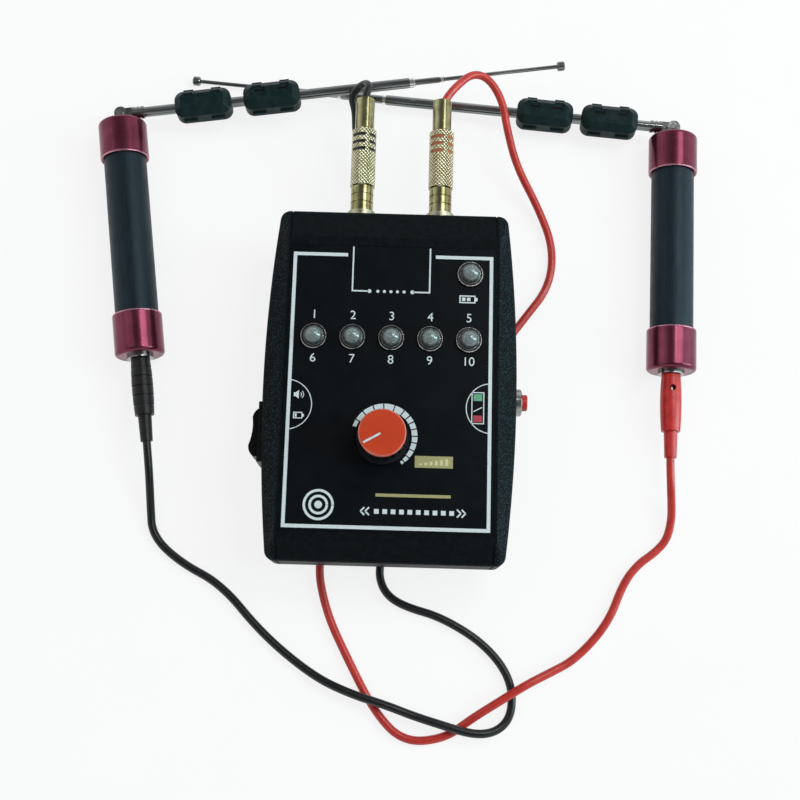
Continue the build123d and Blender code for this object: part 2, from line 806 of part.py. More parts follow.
for side, plane in socket_planes.items():
    ferrule_r = ferrule_diameter / 2
    with BuildPart() as plug_body:
        with BuildSketch(plane):
            add(outline((0, barrel_end - contact_length), (contact_diameter / 2, barrel_end - contact_length),
                        (contact_diameter / 2, barrel_end + plug_gap),
                        (socket_barrel_diameter / 2 + seat_fit, barrel_end + plug_gap),
                        (socket_barrel_diameter / 2 + seat_fit, plug_front), (ferrule_r, plug_front),
                        (ferrule_r, shell_front), (plug_core_diameter / 2, shell_front),
                        (plug_core_diameter / 2, shell_front + plug_core_length),
                        (0, shell_front + plug_core_length)))
        revolve(axis=spin(plane))
        for step in (1, 2):
            ring_y = plug_front + step * (shell_front - plug_front) / 3
            with BuildSketch(plane):
                with Locations((ferrule_r, ring_y)):
                    Rectangle(2 * ferrule_groove, 2 * ferrule_groove)
            revolve(axis=spin(plane), mode=Mode.SUBTRACT)
    write(plug_body, f"gold_plug_body_{side}")

    barrel_r = barrel_diameter / 2
    with BuildPart() as plug_shell:
        with BuildSketch(plane):
            add(outline((plug_core_diameter / 2 + running_fit, shell_front),
                        (barrel_r - barrel_chamfer, shell_front),
                        (barrel_r, shell_front + barrel_chamfer), (barrel_r, barrel_back - barrel_chamfer),
                        (barrel_r - barrel_chamfer, barrel_back), (tail_diameter / 2, barrel_back),
                        (tail_diameter / 2, tail_back), (tail_mouth_diameter / 2, tail_back),
                        (tail_mouth_diameter / 2, tail_back - tail_mouth_depth),
                        (0, tail_back - tail_mouth_depth),
                        (0, shell_front + plug_core_length + seat_fit),
                        (plug_core_diameter / 2 + running_fit, shell_front + plug_core_length + seat_fit)))
        revolve(axis=spin(plane))
        for step in range(3):
            with BuildSketch(plane):
                with Locations((barrel_r, barrel_back - band_start - step * band_pitch)):
                    Rectangle(2 * band_depth, band_width)
            revolve(axis=spin(plane), mode=Mode.SUBTRACT)
    write(plug_shell, f"gold_plug_shell_{side}")

# Where each handle and its aerial lie
handle_tops = {"left": Vector(left_handle_x, left_handle_y, handle_z),
               "right": Vector(right_handle_x, right_handle_y, handle_z)}
handle_ways = {"left": Vector(1, 0, 0).rotate(Axis.Z, left_handle_heading),
               "right": Vector(1, 0, 0).rotate(Axis.Z, right_handle_heading)}
aerial_ways = {
    "left": Vector(1, 0, 0).rotate(Axis.Y, -left_aerial_tilt).rotate(Axis.Z, left_aerial_heading),
    "right": Vector(1, 0, 0).rotate(Axis.Y, -right_aerial_tilt).rotate(Axis.Z, right_aerial_heading),
}
outs = {"left": (left_second_out, left_third_out, left_rod_out),
        "right": (right_second_out, right_third_out, right_rod_out)}
ferrite_starts = {"left": left_ferrite_starts, "right": right_ferrite_starts}
lead_mouths = {}
cap_r = handle_cap_diameter / 2
grip_r = grip_diameter / 2
banana_r = banana_bush_diameter / 2
pin_r = banana_pin_diameter / 2

for side in ("left", "right"):
    top = handle_tops[side]
    along = handle_ways[side]
    handle_plane = Plane(top, x_dir=(0, 0, 1), z_dir=Vector(0, 0, 1).cross(along))

    # Handle: two metal end caps on a tubular grip
    with BuildPart() as top_cap:
        with BuildSketch(handle_plane) as cap_profile:
            add(outline((stud_diameter / 2 + running_fit, 0), (cap_r, 0), (cap_r, -top_cap_length),
                        (grip_r + running_fit, -top_cap_length),
                        (grip_r + running_fit, cap_socket_depth - top_cap_length),
                        (stud_diameter / 2 + running_fit, cap_socket_depth - top_cap_length)))
            rim = cap_profile.vertices().group_by(Axis.X)[-1].sort_by(Axis.Y)
            fillet(rim[-1], cap_edge_round)
            chamfer(cap_profile.vertices().group_by(Axis.X)[-1].sort_by(Axis.Y)[0], cap_edge_round / 4)
        revolve(axis=spin(handle_plane))
    write(top_cap, f"handle_top_cap_{side}")

    with BuildPart() as bottom_cap:
        with BuildSketch(handle_plane) as cap_profile:
            add(outline((banana_r + running_fit, -handle_length), (cap_r, -handle_length),
                        (cap_r, bottom_cap_length - handle_length),
                        (grip_r + running_fit, bottom_cap_length - handle_length),
                        (grip_r + running_fit, bottom_cap_length - cap_socket_depth - handle_length),
                        (banana_r + running_fit, bottom_cap_length - cap_socket_depth - handle_length)))
            fillet(cap_profile.vertices().group_by(Axis.X)[-1].sort_by(Axis.Y)[0], cap_edge_round)
            chamfer(cap_profile.vertices().group_by(Axis.X)[-1].sort_by(Axis.Y)[-1], cap_edge_round / 4)
        revolve(axis=spin(handle_plane))
    write(bottom_cap, f"handle_bottom_cap_{side}")

    grip_top = cap_socket_depth - top_cap_length
    grip_bottom = bottom_cap_length - cap_socket_depth - handle_length
    with BuildPart() as grip_sleeve:
        with BuildSketch(handle_plane):
            add(outline((grip_r - grip_wall, grip_top), (grip_r, grip_top), (grip_r, grip_bottom),
                        (grip_r - grip_wall, grip_bottom)))
        revolve(axis=spin(handle_plane))
    write(grip_sleeve, f"grip_sleeve_{side}")

    # Socket in the lower cap, and the plug of the lead in it
    face = -handle_length
    front = face - banana_flange_height
    with BuildPart() as banana_socket:
        with BuildSketch(handle_plane):
            add(outline((pin_r + running_fit, front), (banana_flange_diameter / 2, front),
                        (banana_flange_diameter / 2, face), (banana_r, face),
                        (banana_r, face + banana_bush_length),
                        (0, face + banana_bush_length), (0, front + banana_pin_length + plug_gap),
                        (pin_r + running_fit, front + banana_pin_length + plug_gap)))
        revolve(axis=spin(handle_plane))
    write(banana_socket, f"banana_socket_{side}")

    sleeve_front = front - seat_fit
    sleeve_back = sleeve_front - banana_sleeve_length
    shoulder = sleeve_front - banana_body_length
    mouth_r = lead_diameter / 2 + seat_fit
    with BuildPart() as banana_sleeve:
        with BuildSketch(handle_plane):
            with BuildLine():
                Polyline((banana_front_diameter / 2, sleeve_front), (pin_r + running_fit, sleeve_front),
                         (pin_r + running_fit, sleeve_front - banana_stem_length - seat_fit),
                         (0, sleeve_front - banana_stem_length - seat_fit),
                         (0, sleeve_back + banana_mouth_depth),
                         (mouth_r, sleeve_back + banana_mouth_depth), (mouth_r, sleeve_back),
                         (banana_tail_end_diameter / 2, sleeve_back), (banana_tail_diameter / 2, shoulder),
                         (banana_front_diameter / 2, shoulder))
                ThreePointArc((banana_front_diameter / 2, shoulder),
                              (banana_bulge_diameter / 2, (sleeve_front + shoulder) / 2),
                              (banana_front_diameter / 2, sleeve_front))
            make_face()
        revolve(axis=spin(handle_plane))
        if side == "left":
            for step in range(1, banana_rib_count + 1):
                rib_y = sleeve_front - step * banana_body_length / (banana_rib_count + 1)
                with BuildSketch(handle_plane):
                    with Locations((banana_bulge_diameter / 2, rib_y)):
                        Rectangle(3 * banana_rib_depth, 2 * banana_rib_depth)
                revolve(axis=spin(handle_plane), mode=Mode.SUBTRACT)
        else:
            grub = top + along * (sleeve_front - grub_hole_from_front)
            with BuildSketch(Plane(grub, z_dir=(0, 0, 1))):
                Circle(grub_hole_diameter / 2)
            extrude(amount=banana_bulge_diameter, mode=Mode.SUBTRACT)
    write(banana_sleeve, f"banana_sleeve_{side}")
    lead_mouths[side] = top + along * (sleeve_back + banana_mouth_depth)

    with BuildPart() as banana_pin:
        with BuildSketch(Plane(top + along * (sleeve_front - banana_stem_length), z_dir=along)):
            Circle(pin_r)
        extrude(amount=banana_stem_length + seat_fit + banana_pin_length)
        chamfer(banana_pin.edges().sort_by(Axis(top, along))[-1], pin_r / 2)
    write(banana_pin, f"banana_pin_{side}")

    # Elbow: a clevis screwed into the upper cap, its pin, and the tongue of the aerial between the arms
    pivot = top + along * pivot_height
    way = aerial_ways[side]
    fold = way.cross(along).normalized()
    fork_plane = Plane(pivot, x_dir=along, z_dir=fold)
    tongue_plane = Plane(pivot, x_dir=way, z_dir=fold)
    fork_foot = pivot_height - elbow_base_height
    with BuildPart() as antenna_clevis:
        with BuildSketch(Plane(top, z_dir=along)):
            Circle(stud_diameter / 2)
        extrude(amount=-stud_length)
        with BuildSketch(Plane(top, z_dir=along)):
            Circle(elbow_base_diameter / 2)
        extrude(amount=elbow_base_height)
        with BuildSketch(fork_plane):
            Circle(fork_radius)
            with Locations((-fork_foot / 2, 0)):
                Rectangle(fork_foot, 2 * fork_radius)
        extrude(amount=fork_thickness / 2, both=True)
        with BuildSketch(fork_plane):
            with Locations((-tongue_radius - plug_gap, 0)):
                Rectangle(2 * pivot_height, 4 * fork_radius, align=(Align.MIN, Align.CENTER))
        extrude(amount=fork_slot / 2, both=True, mode=Mode.SUBTRACT)
        with BuildSketch(fork_plane):
            Circle(hinge_pin_diameter / 2 + running_fit)
        extrude(amount=fork_thickness, both=True, mode=Mode.SUBTRACT)
    write(antenna_clevis, f"antenna_clevis_{side}")

    with BuildPart() as hinge_pin:
        with BuildSketch(fork_plane):
            Circle(hinge_pin_diameter / 2)
        extrude(amount=fork_thickness / 2, both=True)
        for facing in (-1, 1):
            with BuildSketch(fork_plane.offset(facing * fork_thickness / 2)):
                Circle(hinge_pin_head_diameter / 2)
            extrude(amount=facing * hinge_pin_head_height, taper=10)
    write(hinge_pin, f"hinge_pin_{side}")

    # Aerial: tongue, ringed ferrule and outer tube in one piece, then three sliding sections
    tube_plane = Plane(pivot, x_dir=fold, z_dir=fold.cross(way))
    tube_r = tube_diameter / 2
    ferrule_end = ferrule_start + elbow_ferrule_length
    with BuildPart() as antenna_tube:
        with BuildSketch(tongue_plane):
            Circle(tongue_radius)
            Rectangle(ferrule_start + tongue_radius, 2 * tongue_radius, align=(Align.MIN, Align.CENTER))
        extrude(amount=tongue_thickness / 2, both=True)
        with BuildSketch(tube_plane):
            add(outline((0, ferrule_start), (elbow_ferrule_diameter / 2, ferrule_start),
                        (elbow_ferrule_diameter / 2, ferrule_end), (tube_r, ferrule_end), (tube_r, tube_end),
                        (second_diameter / 2 + section_fit, tube_end),
                        (second_diameter / 2 + section_fit, tube_bore_start), (0, tube_bore_start)))
        revolve(axis=spin(tube_plane))
        for step in (1, 2):
            with BuildSketch(tube_plane):
                with Locations((elbow_ferrule_diameter / 2, ferrule_start + step * elbow_ferrule_length / 3)):
                    Rectangle(2 * elbow_ring_depth, elbow_ring_width)
            revolve(axis=spin(tube_plane), mode=Mode.SUBTRACT)
        with BuildSketch(tube_plane):
            with Locations((tube_r, tube_end - crimp_inset)):
                Rectangle(2 * crimp_depth, crimp_width)
        revolve(axis=spin(tube_plane), mode=Mode.SUBTRACT)
        with BuildSketch(tongue_plane):
            Circle(hinge_pin_diameter / 2 + running_fit)
        extrude(amount=tongue_thickness, both=True, mode=Mode.SUBTRACT)
    write(antenna_tube, f"antenna_tube_{side}")

    second_out, third_out, rod_out = outs[side]
    second_end = tube_end + second_out
    third_end = second_end + third_out
    rod_end = third_end + rod_out
    with BuildPart() as antenna_second:
        with BuildSketch(tube_plane):
            add(outline((third_diameter / 2 + section_fit, second_end - second_length),
                        (second_diameter / 2, second_end - second_length), (second_diameter / 2, second_end),
                        (third_diameter / 2 + section_fit, second_end)))
        revolve(axis=spin(tube_plane))
        with BuildSketch(tube_plane):
            with Locations((second_diameter / 2, second_end - crimp_inset)):
                Rectangle(2 * crimp_depth, crimp_width)
        revolve(axis=spin(tube_plane), mode=Mode.SUBTRACT)
    write(antenna_second, f"antenna_second_section_{side}")

    with BuildPart() as antenna_third:
        with BuildSketch(tube_plane):
            add(outline((rod_diameter / 2 + section_fit, third_end - third_length),
                        (third_diameter / 2, third_end - third_length), (third_diameter / 2, third_end),
                        (rod_diameter / 2 + section_fit, third_end)))
        revolve(axis=spin(tube_plane))
        with BuildSketch(tube_plane):
            with Locations((third_diameter / 2, third_end - crimp_inset)):
                Rectangle(2 * crimp_depth, crimp_width)
        revolve(axis=spin(tube_plane), mode=Mode.SUBTRACT)
    write(antenna_third, f"antenna_third_section_{side}")

    with BuildPart() as antenna_tip:
        with BuildSketch(tube_plane):
            add(outline((0, rod_end - rod_length), (rod_diameter / 2, rod_end - rod_length),
                        (rod_diameter / 2, rod_end), (tip_diameter / 2 - rod_diameter / 4, rod_end),
                        (tip_diameter / 2, rod_end + rod_diameter / 4),
                        (tip_diameter / 2, rod_end + tip_length - rod_diameter / 4),
                        (tip_diameter / 2 - rod_diameter / 4, rod_end + tip_length),
                        (0, rod_end + tip_length)))
        revolve(axis=spin(tube_plane))
    write(antenna_tip, f"antenna_tip_{side}")

    # Clip-on ferrites: a lower shell and a hinged lid, each with half of a core, round the outer tube
    reach = 1 if way.X > 0 else -1
    lift = 1 if fold.Z > 0 else -1
    ferrite_plane = Plane(pivot, x_dir=way * reach, z_dir=fold * lift)
    half_gap = ferrite_split / 2

    def knuckle_plane(x):
        """Plane square to the lid's axis at a place along the aerial."""
        return Plane(ferrite_plane.from_local_coords((x, -ferrite_size / 2, 0)), z_dir=ferrite_plane.x_dir)

    wanted = [("ferrite_bases", ferrite_starts[side], -1)]
    wanted += [(f"ferrite_lid_{number}", (start,), 1) for number, start in enumerate(ferrite_starts[side], 1)]
    for name, starts, facing in wanted:
        middles = [(reach * (start + ferrite_length / 2), 0) for start in starts]
        mating = ferrite_plane.offset(facing * half_gap)
        with BuildPart() as ferrite:
            with BuildSketch(mating) as plan:
                with Locations(*middles):
                    Rectangle(ferrite_length, ferrite_size)
                fillet(plan.vertices(), ferrite_corner)
            extrude(amount=facing * (ferrite_size / 2 - half_gap))
            outer = ferrite.faces().group_by(Axis(pivot, ferrite_plane.z_dir * facing))[-1]
            chamfer(outer.edges(), ferrite_chamfer)
            # Knuckles on the axis of the lid: the base's pair carries pins that turn in the lid's pair
            outer_pair = knuckle_spacing / 2
            inner_pair = outer_pair - knuckle_width - knuckle_gap
            own, others = (outer_pair, inner_pair) if facing < 0 else (inner_pair, outer_pair)
            for x, _ in middles:
                for hand in (-1, 1):
                    with BuildSketch(knuckle_plane(x + hand * others)):
                        Circle(knuckle_diameter / 2 + running_fit)
                    extrude(amount=knuckle_width / 2 + knuckle_gap, both=True, mode=Mode.SUBTRACT)
                    with BuildSketch(knuckle_plane(x + hand * own)):
                        Circle(knuckle_diameter / 2)
                    extrude(amount=knuckle_width / 2, both=True)
                    with BuildSketch(knuckle_plane(x + hand * inner_pair)):
                        Circle(knuckle_pin_diameter / 2 + (running_fit if facing > 0 else 0))
                    extrude(amount=knuckle_width / 2 + knuckle_gap, both=True,
                            mode=Mode.SUBTRACT if facing > 0 else Mode.ADD)
            if facing > 0:
                with BuildSketch(ferrite_plane.offset(ferrite_size / 2)):
                    with Locations(*[(x + step, ferrite_size / 2 - latch_window_inset) for x, _ in middles
                                     for step in (-latch_spacing / 2, latch_spacing / 2)]):
                        Rectangle(latch_width, latch_window_width, align=(Align.CENTER, Align.MAX))
                extrude(amount=-latch_window_depth, mode=Mode.SUBTRACT)
                clips = [(x + step, ferrite_size / 2) for x, _ in middles
                         for step in (-latch_spacing / 2, latch_spacing / 2)]
                with BuildSketch(ferrite_plane.offset(latch_height / 2)):
                    with Locations(*clips):
                        Rectangle(latch_width, latch_thickness + running_fit, align=(Align.CENTER, Align.MIN))
                extrude(amount=-latch_height)
                with BuildSketch(ferrite_plane):
                    with Locations(*clips):
                        Rectangle(latch_width, running_fit, align=(Align.CENTER, Align.MIN))
                extrude(amount=-latch_height, mode=Mode.SUBTRACT)
            with BuildSketch(mating):
                with Locations(*middles):
                    Rectangle(ferrite_core_length, ferrite_core_size)
            extrude(amount=facing * ferrite_core_size / 2, mode=Mode.SUBTRACT)
            with BuildSketch(mating):
                with Locations(*middles):
                    Rectangle(ferrite_core_length - 2 * running_fit, ferrite_core_size - 2 * running_fit)
            extrude(amount=facing * (ferrite_core_size / 2 - running_fit))
            with BuildSketch(Plane(pivot, z_dir=way)):
                Circle(tube_r + running_fit)
            extrude(amount=tube_end, mode=Mode.SUBTRACT)
        write(ferrite, f"{name}_{side}")

# Leads: straight runs joined by the largest arcs that they allow
black_route = [
    (-97.8, -75.1, 8.6), (-97.4, -86.7, 3.8), (-96.2, -99.1, lead_low), (-84.0, -109.7, lead_low),
    (-66.5, -118.1, lead_low), (-49.0, -137.5, lead_low), (-28.0, -153.3, 2.8), (-13.0, -159.7, lead_over),
    (2.0, -163.9, lead_over), (12.6, -167.7, 4.8), (23.4, -170.7, lead_over), (37.4, -174.5, lead_over),
    (47.0, -172.9, 3.0), (52.6, -165.9, lead_low), (51.8, -152.1, lead_low), (41.0, -138.9, lead_low),
    (23.6, -128.9, lead_low), (9.6, -125.3, lead_low), (2.4, -121.7, lead_low), (-1.4, -116.7, lead_low),
    (-2.6, -109.9, lead_low), (0.2, -99.5, lead_low), (3.2, -83.5, lead_low), (3.6, -53.5, lead_low),
    (-3.2, -17.5, lead_low), (-12.6, 14.5, lead_low), (-14.4, 42.5, 3.2), (-16.0, 64.5, 8.4),
    (-17.9, 80.1, 12.0), (-16.8, 88.9, 13.2), (-14.6, 92.5, 16.8), (-12.9, 91.9, 22.0),
]
red_route = [
    (116.2, -73.7, 9.0), (117.0, -80.9, 6.0), (117.4, -87.3, 3.2), (115.6, -95.1, lead_low),
    (110.4, -100.5, lead_low), (103.6, -105.3, lead_low), (97.4, -113.3, lead_low), (91.2, -129.5, lead_low),
    (78.0, -144.1, lead_low), (66.5, -150.1, 3.4), (58.0, -154.3, lead_over), (45.6, -162.1, lead_over),
    (36.6, -168.1, 2.6), (25.4, -176.5, lead_low), (9.0, -178.1, lead_low), (-2.8, -166.5, lead_low),
    (-13.8, -146.9, lead_low), (-23.6, -127.9, lead_low), (-28.2, -107.5, lead_low), (-21.0, -85.5, 3.6),
    (-4.0, -66.9, lead_under_case), (9.4, -55.1, lead_under_case), (26.0, -40.5, 3.6),
    (43.0, -21.9, lead_low), (58.0, -3.9, lead_low), (67.8, 12.5, lead_low), (70.0, 30.9, 2.0),
    (62.2, 46.9, 4.4), (51.6, 63.9, 9.8), (45.2, 79.1, 14.6), (43.5, 89.9, 17.6), (39.0, 99.6, 20.0),
    (29.4, 102.3, 22.9), (21.1, 96.6, 25.6),
]


def arc_radii(points):
    """Radii of the arcs at the inner points of a route."""
    radii = []
    for before, here, after in zip(points, points[1:], points[2:]):
        turn = (here - before).get_angle(after - here)
        run = min((here - before).length, (after - here).length)
        radii.append(0.45 * run / tan(radians(turn / 2)))
    return radii


for name, side, route in (("black_lead", "left", black_route), ("red_lead", "right", red_route)):
    mouth = lead_mouths[side]
    plug_mouth = socket_planes[side].origin + Vector(0, tail_back - tail_mouth_depth, 0)
    points = [mouth, mouth - handle_ways[side] * lead_exit]
    points += [Vector(*point) for point in route]
    points += [plug_mouth + Vector(0, lead_exit, 0), plug_mouth]
    radii = arc_radii(points)
    with BuildPart() as lead:
        with BuildLine() as path:
            FilletPolyline(*points, radius=radii)
        with BuildSketch(Plane(path.line @ 0, z_dir=path.line % 0)):
            Circle(lead_diameter / 2)
        sweep(path=path.line)
    write(lead, name)
    expected = pi * (lead_diameter / 2) ** 2 * path.wires()[0].length
    print(name, "radii", [round(radius, 1) for radius in radii])
    print(name, "volume against section times length", round(lead.part.volume / expected, 5))
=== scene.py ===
import bmesh
import bpy
import json
from math import cos, pi, radians, sin
from mathutils import Matrix, Vector


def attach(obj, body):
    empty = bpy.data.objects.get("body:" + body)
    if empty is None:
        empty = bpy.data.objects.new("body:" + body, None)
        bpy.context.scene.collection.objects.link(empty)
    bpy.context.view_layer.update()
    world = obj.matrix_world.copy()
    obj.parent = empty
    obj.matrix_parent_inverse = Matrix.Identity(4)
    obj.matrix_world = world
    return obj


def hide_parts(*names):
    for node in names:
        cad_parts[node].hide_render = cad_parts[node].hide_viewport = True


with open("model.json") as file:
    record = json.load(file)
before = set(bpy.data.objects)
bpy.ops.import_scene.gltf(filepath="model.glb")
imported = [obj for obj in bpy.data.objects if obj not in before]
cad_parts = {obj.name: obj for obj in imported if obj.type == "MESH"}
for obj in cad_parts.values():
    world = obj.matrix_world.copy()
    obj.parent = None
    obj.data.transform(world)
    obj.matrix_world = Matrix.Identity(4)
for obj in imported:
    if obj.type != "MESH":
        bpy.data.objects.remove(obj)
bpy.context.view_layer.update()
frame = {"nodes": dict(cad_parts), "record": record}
nodes = frame["nodes"]
scene = bpy.context.scene
scene.view_settings.view_transform = "Standard"

MM = 0.001


def heading(degrees):
    """Level direction at an angle from the x axis."""
    return Vector((cos(radians(degrees)), sin(radians(degrees)), 0.0))


# Places in the CAD frame, in millimetres.
CASE_Y = -39.2  # middle of the case
KNOB_X, KNOB_Y = -2.2, CASE_Y - 23.6
LAMP_STEP, LAMP_ROW_Y = 15.3, CASE_Y + 16.9
BATTERY_LAMP_X, BATTERY_LAMP_Y = 30.8, CASE_Y + 43.9
PLUG_X = {"left": -14.0, "right": 18.6}
PLUG_Z = 25.5
INK_LOW, INK_HIGH = 39.38, 39.43  # bottom and top of the print on the front label
HANDLE_AXIS = {"left": heading(98.4), "right": heading(88.4)}


def joint_axis(name):
    """Direction of a joint's axis at rest."""
    joint = next(row for row in frame["record"]["behaviour"]["joints"] if row["name"] == name)
    return Vector(joint["axis"]).normalized()


def add(name, data):
    """Puts new data into the scene as an object."""
    made = bpy.data.objects.new(name, data)
    scene.collection.objects.link(made)
    return made


# ---------------------------------------------------------------- camera
def place_camera():
    """Camera of the photograph: 78 degrees above the horizon, 0.5 m away, rolled a little."""
    target, distance = Vector((4.15, -38.7, 0.0)) * MM, 0.5
    tilt, roll = radians(78.0), radians(1.6)
    back = Vector((0.0, -cos(tilt), sin(tilt)))
    lift = Vector((0.0, sin(tilt), cos(tilt)))
    side = Vector((1.0, 0.0, 0.0))
    right = side * cos(roll) + lift * sin(roll)
    up = lift * cos(roll) - side * sin(roll)
    data = bpy.data.cameras.new("camera")
    data.sensor_fit = "HORIZONTAL"
    data.sensor_width = 36.0
    data.lens = 53.1
    data.clip_start = 0.01
    camera = add("camera", data)
    turn = Matrix((right, up, back)).transposed().to_4x4()
    camera.matrix_world = Matrix.Translation(target + back * distance) @ turn
    scene.camera = camera


place_camera()


# ---------------------------------------------------------------- materials
class Shader:
    """A principled material whose colour, roughness and relief vary over the surface."""

    def __init__(self, name, roughness=0.5, metallic=0.0, specular=0.5, coat=0.0,
                 coat_roughness=0.1):
        self.material = bpy.data.materials.new(name)
        self.material.use_nodes = True
        self.tree = self.material.node_tree
        self.bsdf = self.tree.nodes["Principled BSDF"]
        self.bsdf.inputs["Roughness"].default_value = roughness
        self.bsdf.inputs["Metallic"].default_value = metallic
        self.bsdf.inputs["Specular IOR Level"].default_value = specular
        self.bsdf.inputs["Coat Weight"].default_value = coat
        self.bsdf.inputs["Coat Roughness"].default_value = coat_roughness
        self.place = self.node("ShaderNodeTexCoord").outputs["Object"]

    def node(self, kind, **inputs):
        """New node with constants on its named sockets."""
        made = self.tree.nodes.new(kind)
        for key, value in inputs.items():
            made.inputs[key].default_value = value
        return made

    def link(self, source, target):
        self.tree.links.new(source, target)

    def math(self, kind, *values):
        """Result of a math node; each value is a number or a socket."""
        made = self.node("ShaderNodeMath")
        made.operation = kind
        for socket, value in zip(made.inputs, values):
            if isinstance(value, (int, float)):
                socket.default_value = value
            else:
                self.link(value, socket)
        return made.outputs[0]

    def split(self, vector):
        made = self.node("ShaderNodeSeparateXYZ")
        self.link(vector, made.inputs[0])
        return made.outputs

    def joined(self, *values):
        made = self.node("ShaderNodeCombineXYZ")
        for socket, value in zip(made.inputs, values):
            self.link(value, socket)
        return made.outputs[0]

    def along(self, axis):
        """Distance along an axis through the origin."""
        x, y, z = (self.math("MULTIPLY", value, part)
                   for value, part in zip(self.split(self.place), axis))
        return self.math("ADD", self.math("ADD", x, y), z)

    def length(self, a, b):
        """Length of the flat vector (a, b)."""
        return self.math("SQRT", self.math("ADD", self.math("MULTIPLY", a, a),
                                           self.math("MULTIPLY", b, b)))

    def stretched(self, x, y, z):
        made = self.node("ShaderNodeMapping", Scale=(x, y, z))
        self.link(self.place, made.inputs["Vector"])
        return made.outputs["Vector"]

    def noise(self, scale, detail=3.0, place=None):
        made = self.node("ShaderNodeTexNoise", Scale=scale, Detail=detail)
        self.link(place or self.place, made.inputs["Vector"])
        return made.outputs["Fac"]

    def cells(self, scale):
        made = self.node("ShaderNodeTexVoronoi", Scale=scale)
        self.link(self.place, made.inputs["Vector"])
        return made.outputs["Distance"]

    def spread(self, value, low, high, start=0.3, end=0.7):
        """Value brought from between start and end to between low and high."""
        made = self.node("ShaderNodeMapRange")
        for socket, number in zip(made.inputs[1:5], (start, end, low, high)):
            socket.default_value = number
        self.link(value, made.inputs[0])
        return made.outputs[0]

    def drift(self, scale, detail=4.0, place=None):
        """Noise as a share between 0 and 1."""
        return self.spread(self.noise(scale, detail, place), 0.0, 1.0)

    def blend(self, factor, first, second):
        """Mix of two colours, each a tuple or a socket."""
        made = self.node("ShaderNodeMix")
        made.data_type = "RGBA"
        self.link(factor, made.inputs[0])
        for socket, value in ((made.inputs[6], first), (made.inputs[7], second)):
            if isinstance(value, tuple):
                socket.default_value = (*value, 1.0)
            else:
                self.link(value, socket)
        return made.outputs[2]

    def colour(self, value):
        self.link(value, self.bsdf.inputs["Base Color"])

    def rough(self, value):
        self.link(value, self.bsdf.inputs["Roughness"])

    def relief(self, height, distance, strength=1.0):
        """Bump on top of any bump that is there already."""
        bump = self.node("ShaderNodeBump", Strength=strength, Distance=distance)
        self.link(height, bump.inputs["Height"])
        earlier = self.bsdf.inputs["Normal"].links
        if earlier:
            self.link(earlier[0].from_socket, bump.inputs["Normal"])
        self.link(bump.outputs["Normal"], self.bsdf.inputs["Normal"])


def mottled(name, dark, light, scale, rough, **kinds):
    """Shader whose colour and roughness drift between two values."""
    made = Shader(name, **kinds)
    made.colour(made.blend(made.drift(scale), dark, light))
    made.rough(made.spread(made.noise(scale * 2.3, 2.0), *rough))
    return made


def pebbled_plastic():
    """Case plastic: smooth on its front and ends, pebbled along its sides."""
    made = Shader("case_plastic", specular=0.055)
    from_middle = made.math("ABSOLUTE", made.split(made.place)[0])
    sides = made.spread(from_middle, 0.0, 1.0, 41.8 * MM, 43.0 * MM)
    pebbles = made.cells(1250.0)
    fleck = made.math("MULTIPLY", made.spread(pebbles, 1.0, 0.0, 0.08, 0.5), sides)
    smooth = made.blend(made.drift(420.0), (0.0030, 0.0042, 0.0050), (0.0060, 0.0080, 0.0092))
    made.colour(made.blend(fleck, smooth, (0.020, 0.050, 0.066)))
    made.rough(made.spread(made.noise(960.0, 2.0), 0.40, 0.54))
    height = made.math("MULTIPLY", pebbles, made.spread(sides, 0.2, 1.0, 0.0, 1.0))
    made.relief(height, 0.0003, 0.8)
    made.relief(made.noise(3200.0, 2.0), 0.00004, 0.35)
    return made.material


def label_sheet():
    """Black printed sheet of the front."""
    made = mottled("label_print", (0.0022, 0.0034, 0.0046), (0.0040, 0.0058, 0.0074),
                   95.0, (0.34, 0.44), specular=0.09)
    made.relief(made.noise(2600.0), 0.00002, 0.3)
    return made.material


def rubber(name, dark, light):
    made = mottled(name, dark, light, 700.0, (0.62, 0.8), specular=0.25)
    made.relief(made.noise(2400.0), 0.00006, 0.5)
    return made.material


def plain_plastic(name, dark, light, rough=(0.28, 0.42), specular=0.4):
    made = mottled(name, dark, light, 300.0, rough, specular=specular)
    made.relief(made.noise(1800.0), 0.00003, 0.35)
    return made.material


def metal(name, dark, light, rough=(0.18, 0.34), scale=320.0, grain=(1.0, 1.0, 1.0), ring=None):
    """Metal with a fine grain; ring, a node and its axis, adds a bright ring of painted highlight
    at its far end.
    """
    made = Shader(name, metallic=1.0)
    grained = made.stretched(*grain)
    tone = made.blend(made.drift(scale, 5.0, grained), dark, light)
    if ring:
        node, axis = ring
        reach = max(axis.dot(vertex.co) for vertex in nodes[node].data.vertices)
        off = made.math("ABSOLUTE", made.math("SUBTRACT", made.along(axis), reach - 0.8 * MM))
        end_highlight = made.spread(off, 1.0, 0.0, 0.62 * MM, 0.74 * MM)
        # painted highlight: a bright ring just short of the tube's far end
        tone = made.blend(end_highlight, tone, (0.86, 0.87, 0.85))
    made.colour(tone)
    made.rough(made.spread(made.noise(scale * 2.0, 3.0, grained), *rough))
    made.relief(made.noise(scale * 4.0, 2.0, grained), 0.00002, 0.3)
    return made.material


def chrome(name, ring=None):
    """Chromed tube, drawn along its length; ring adds a painted highlight near its far end."""
    return metal(name, (0.145, 0.155, 0.153), (0.30, 0.315, 0.31), (0.12, 0.24),
                 200.0, (0.12, 1.0, 1.0), ring)


def anodised(name, axis):
    """Maroon anodised turning: fine rings across the axis and a bright satin face."""
    made = Shader(name, metallic=0.82, coat=0.12, coat_roughness=0.14)
    turned = made.noise(5200.0, 2.0, made.joined(made.along(axis)))
    made.colour(made.blend(made.drift(140.0), (0.135, 0.020, 0.042), (0.20, 0.036, 0.070)))
    made.rough(made.spread(turned, 0.20, 0.28))
    made.relief(turned, 0.00001, 0.2)
    return made.material


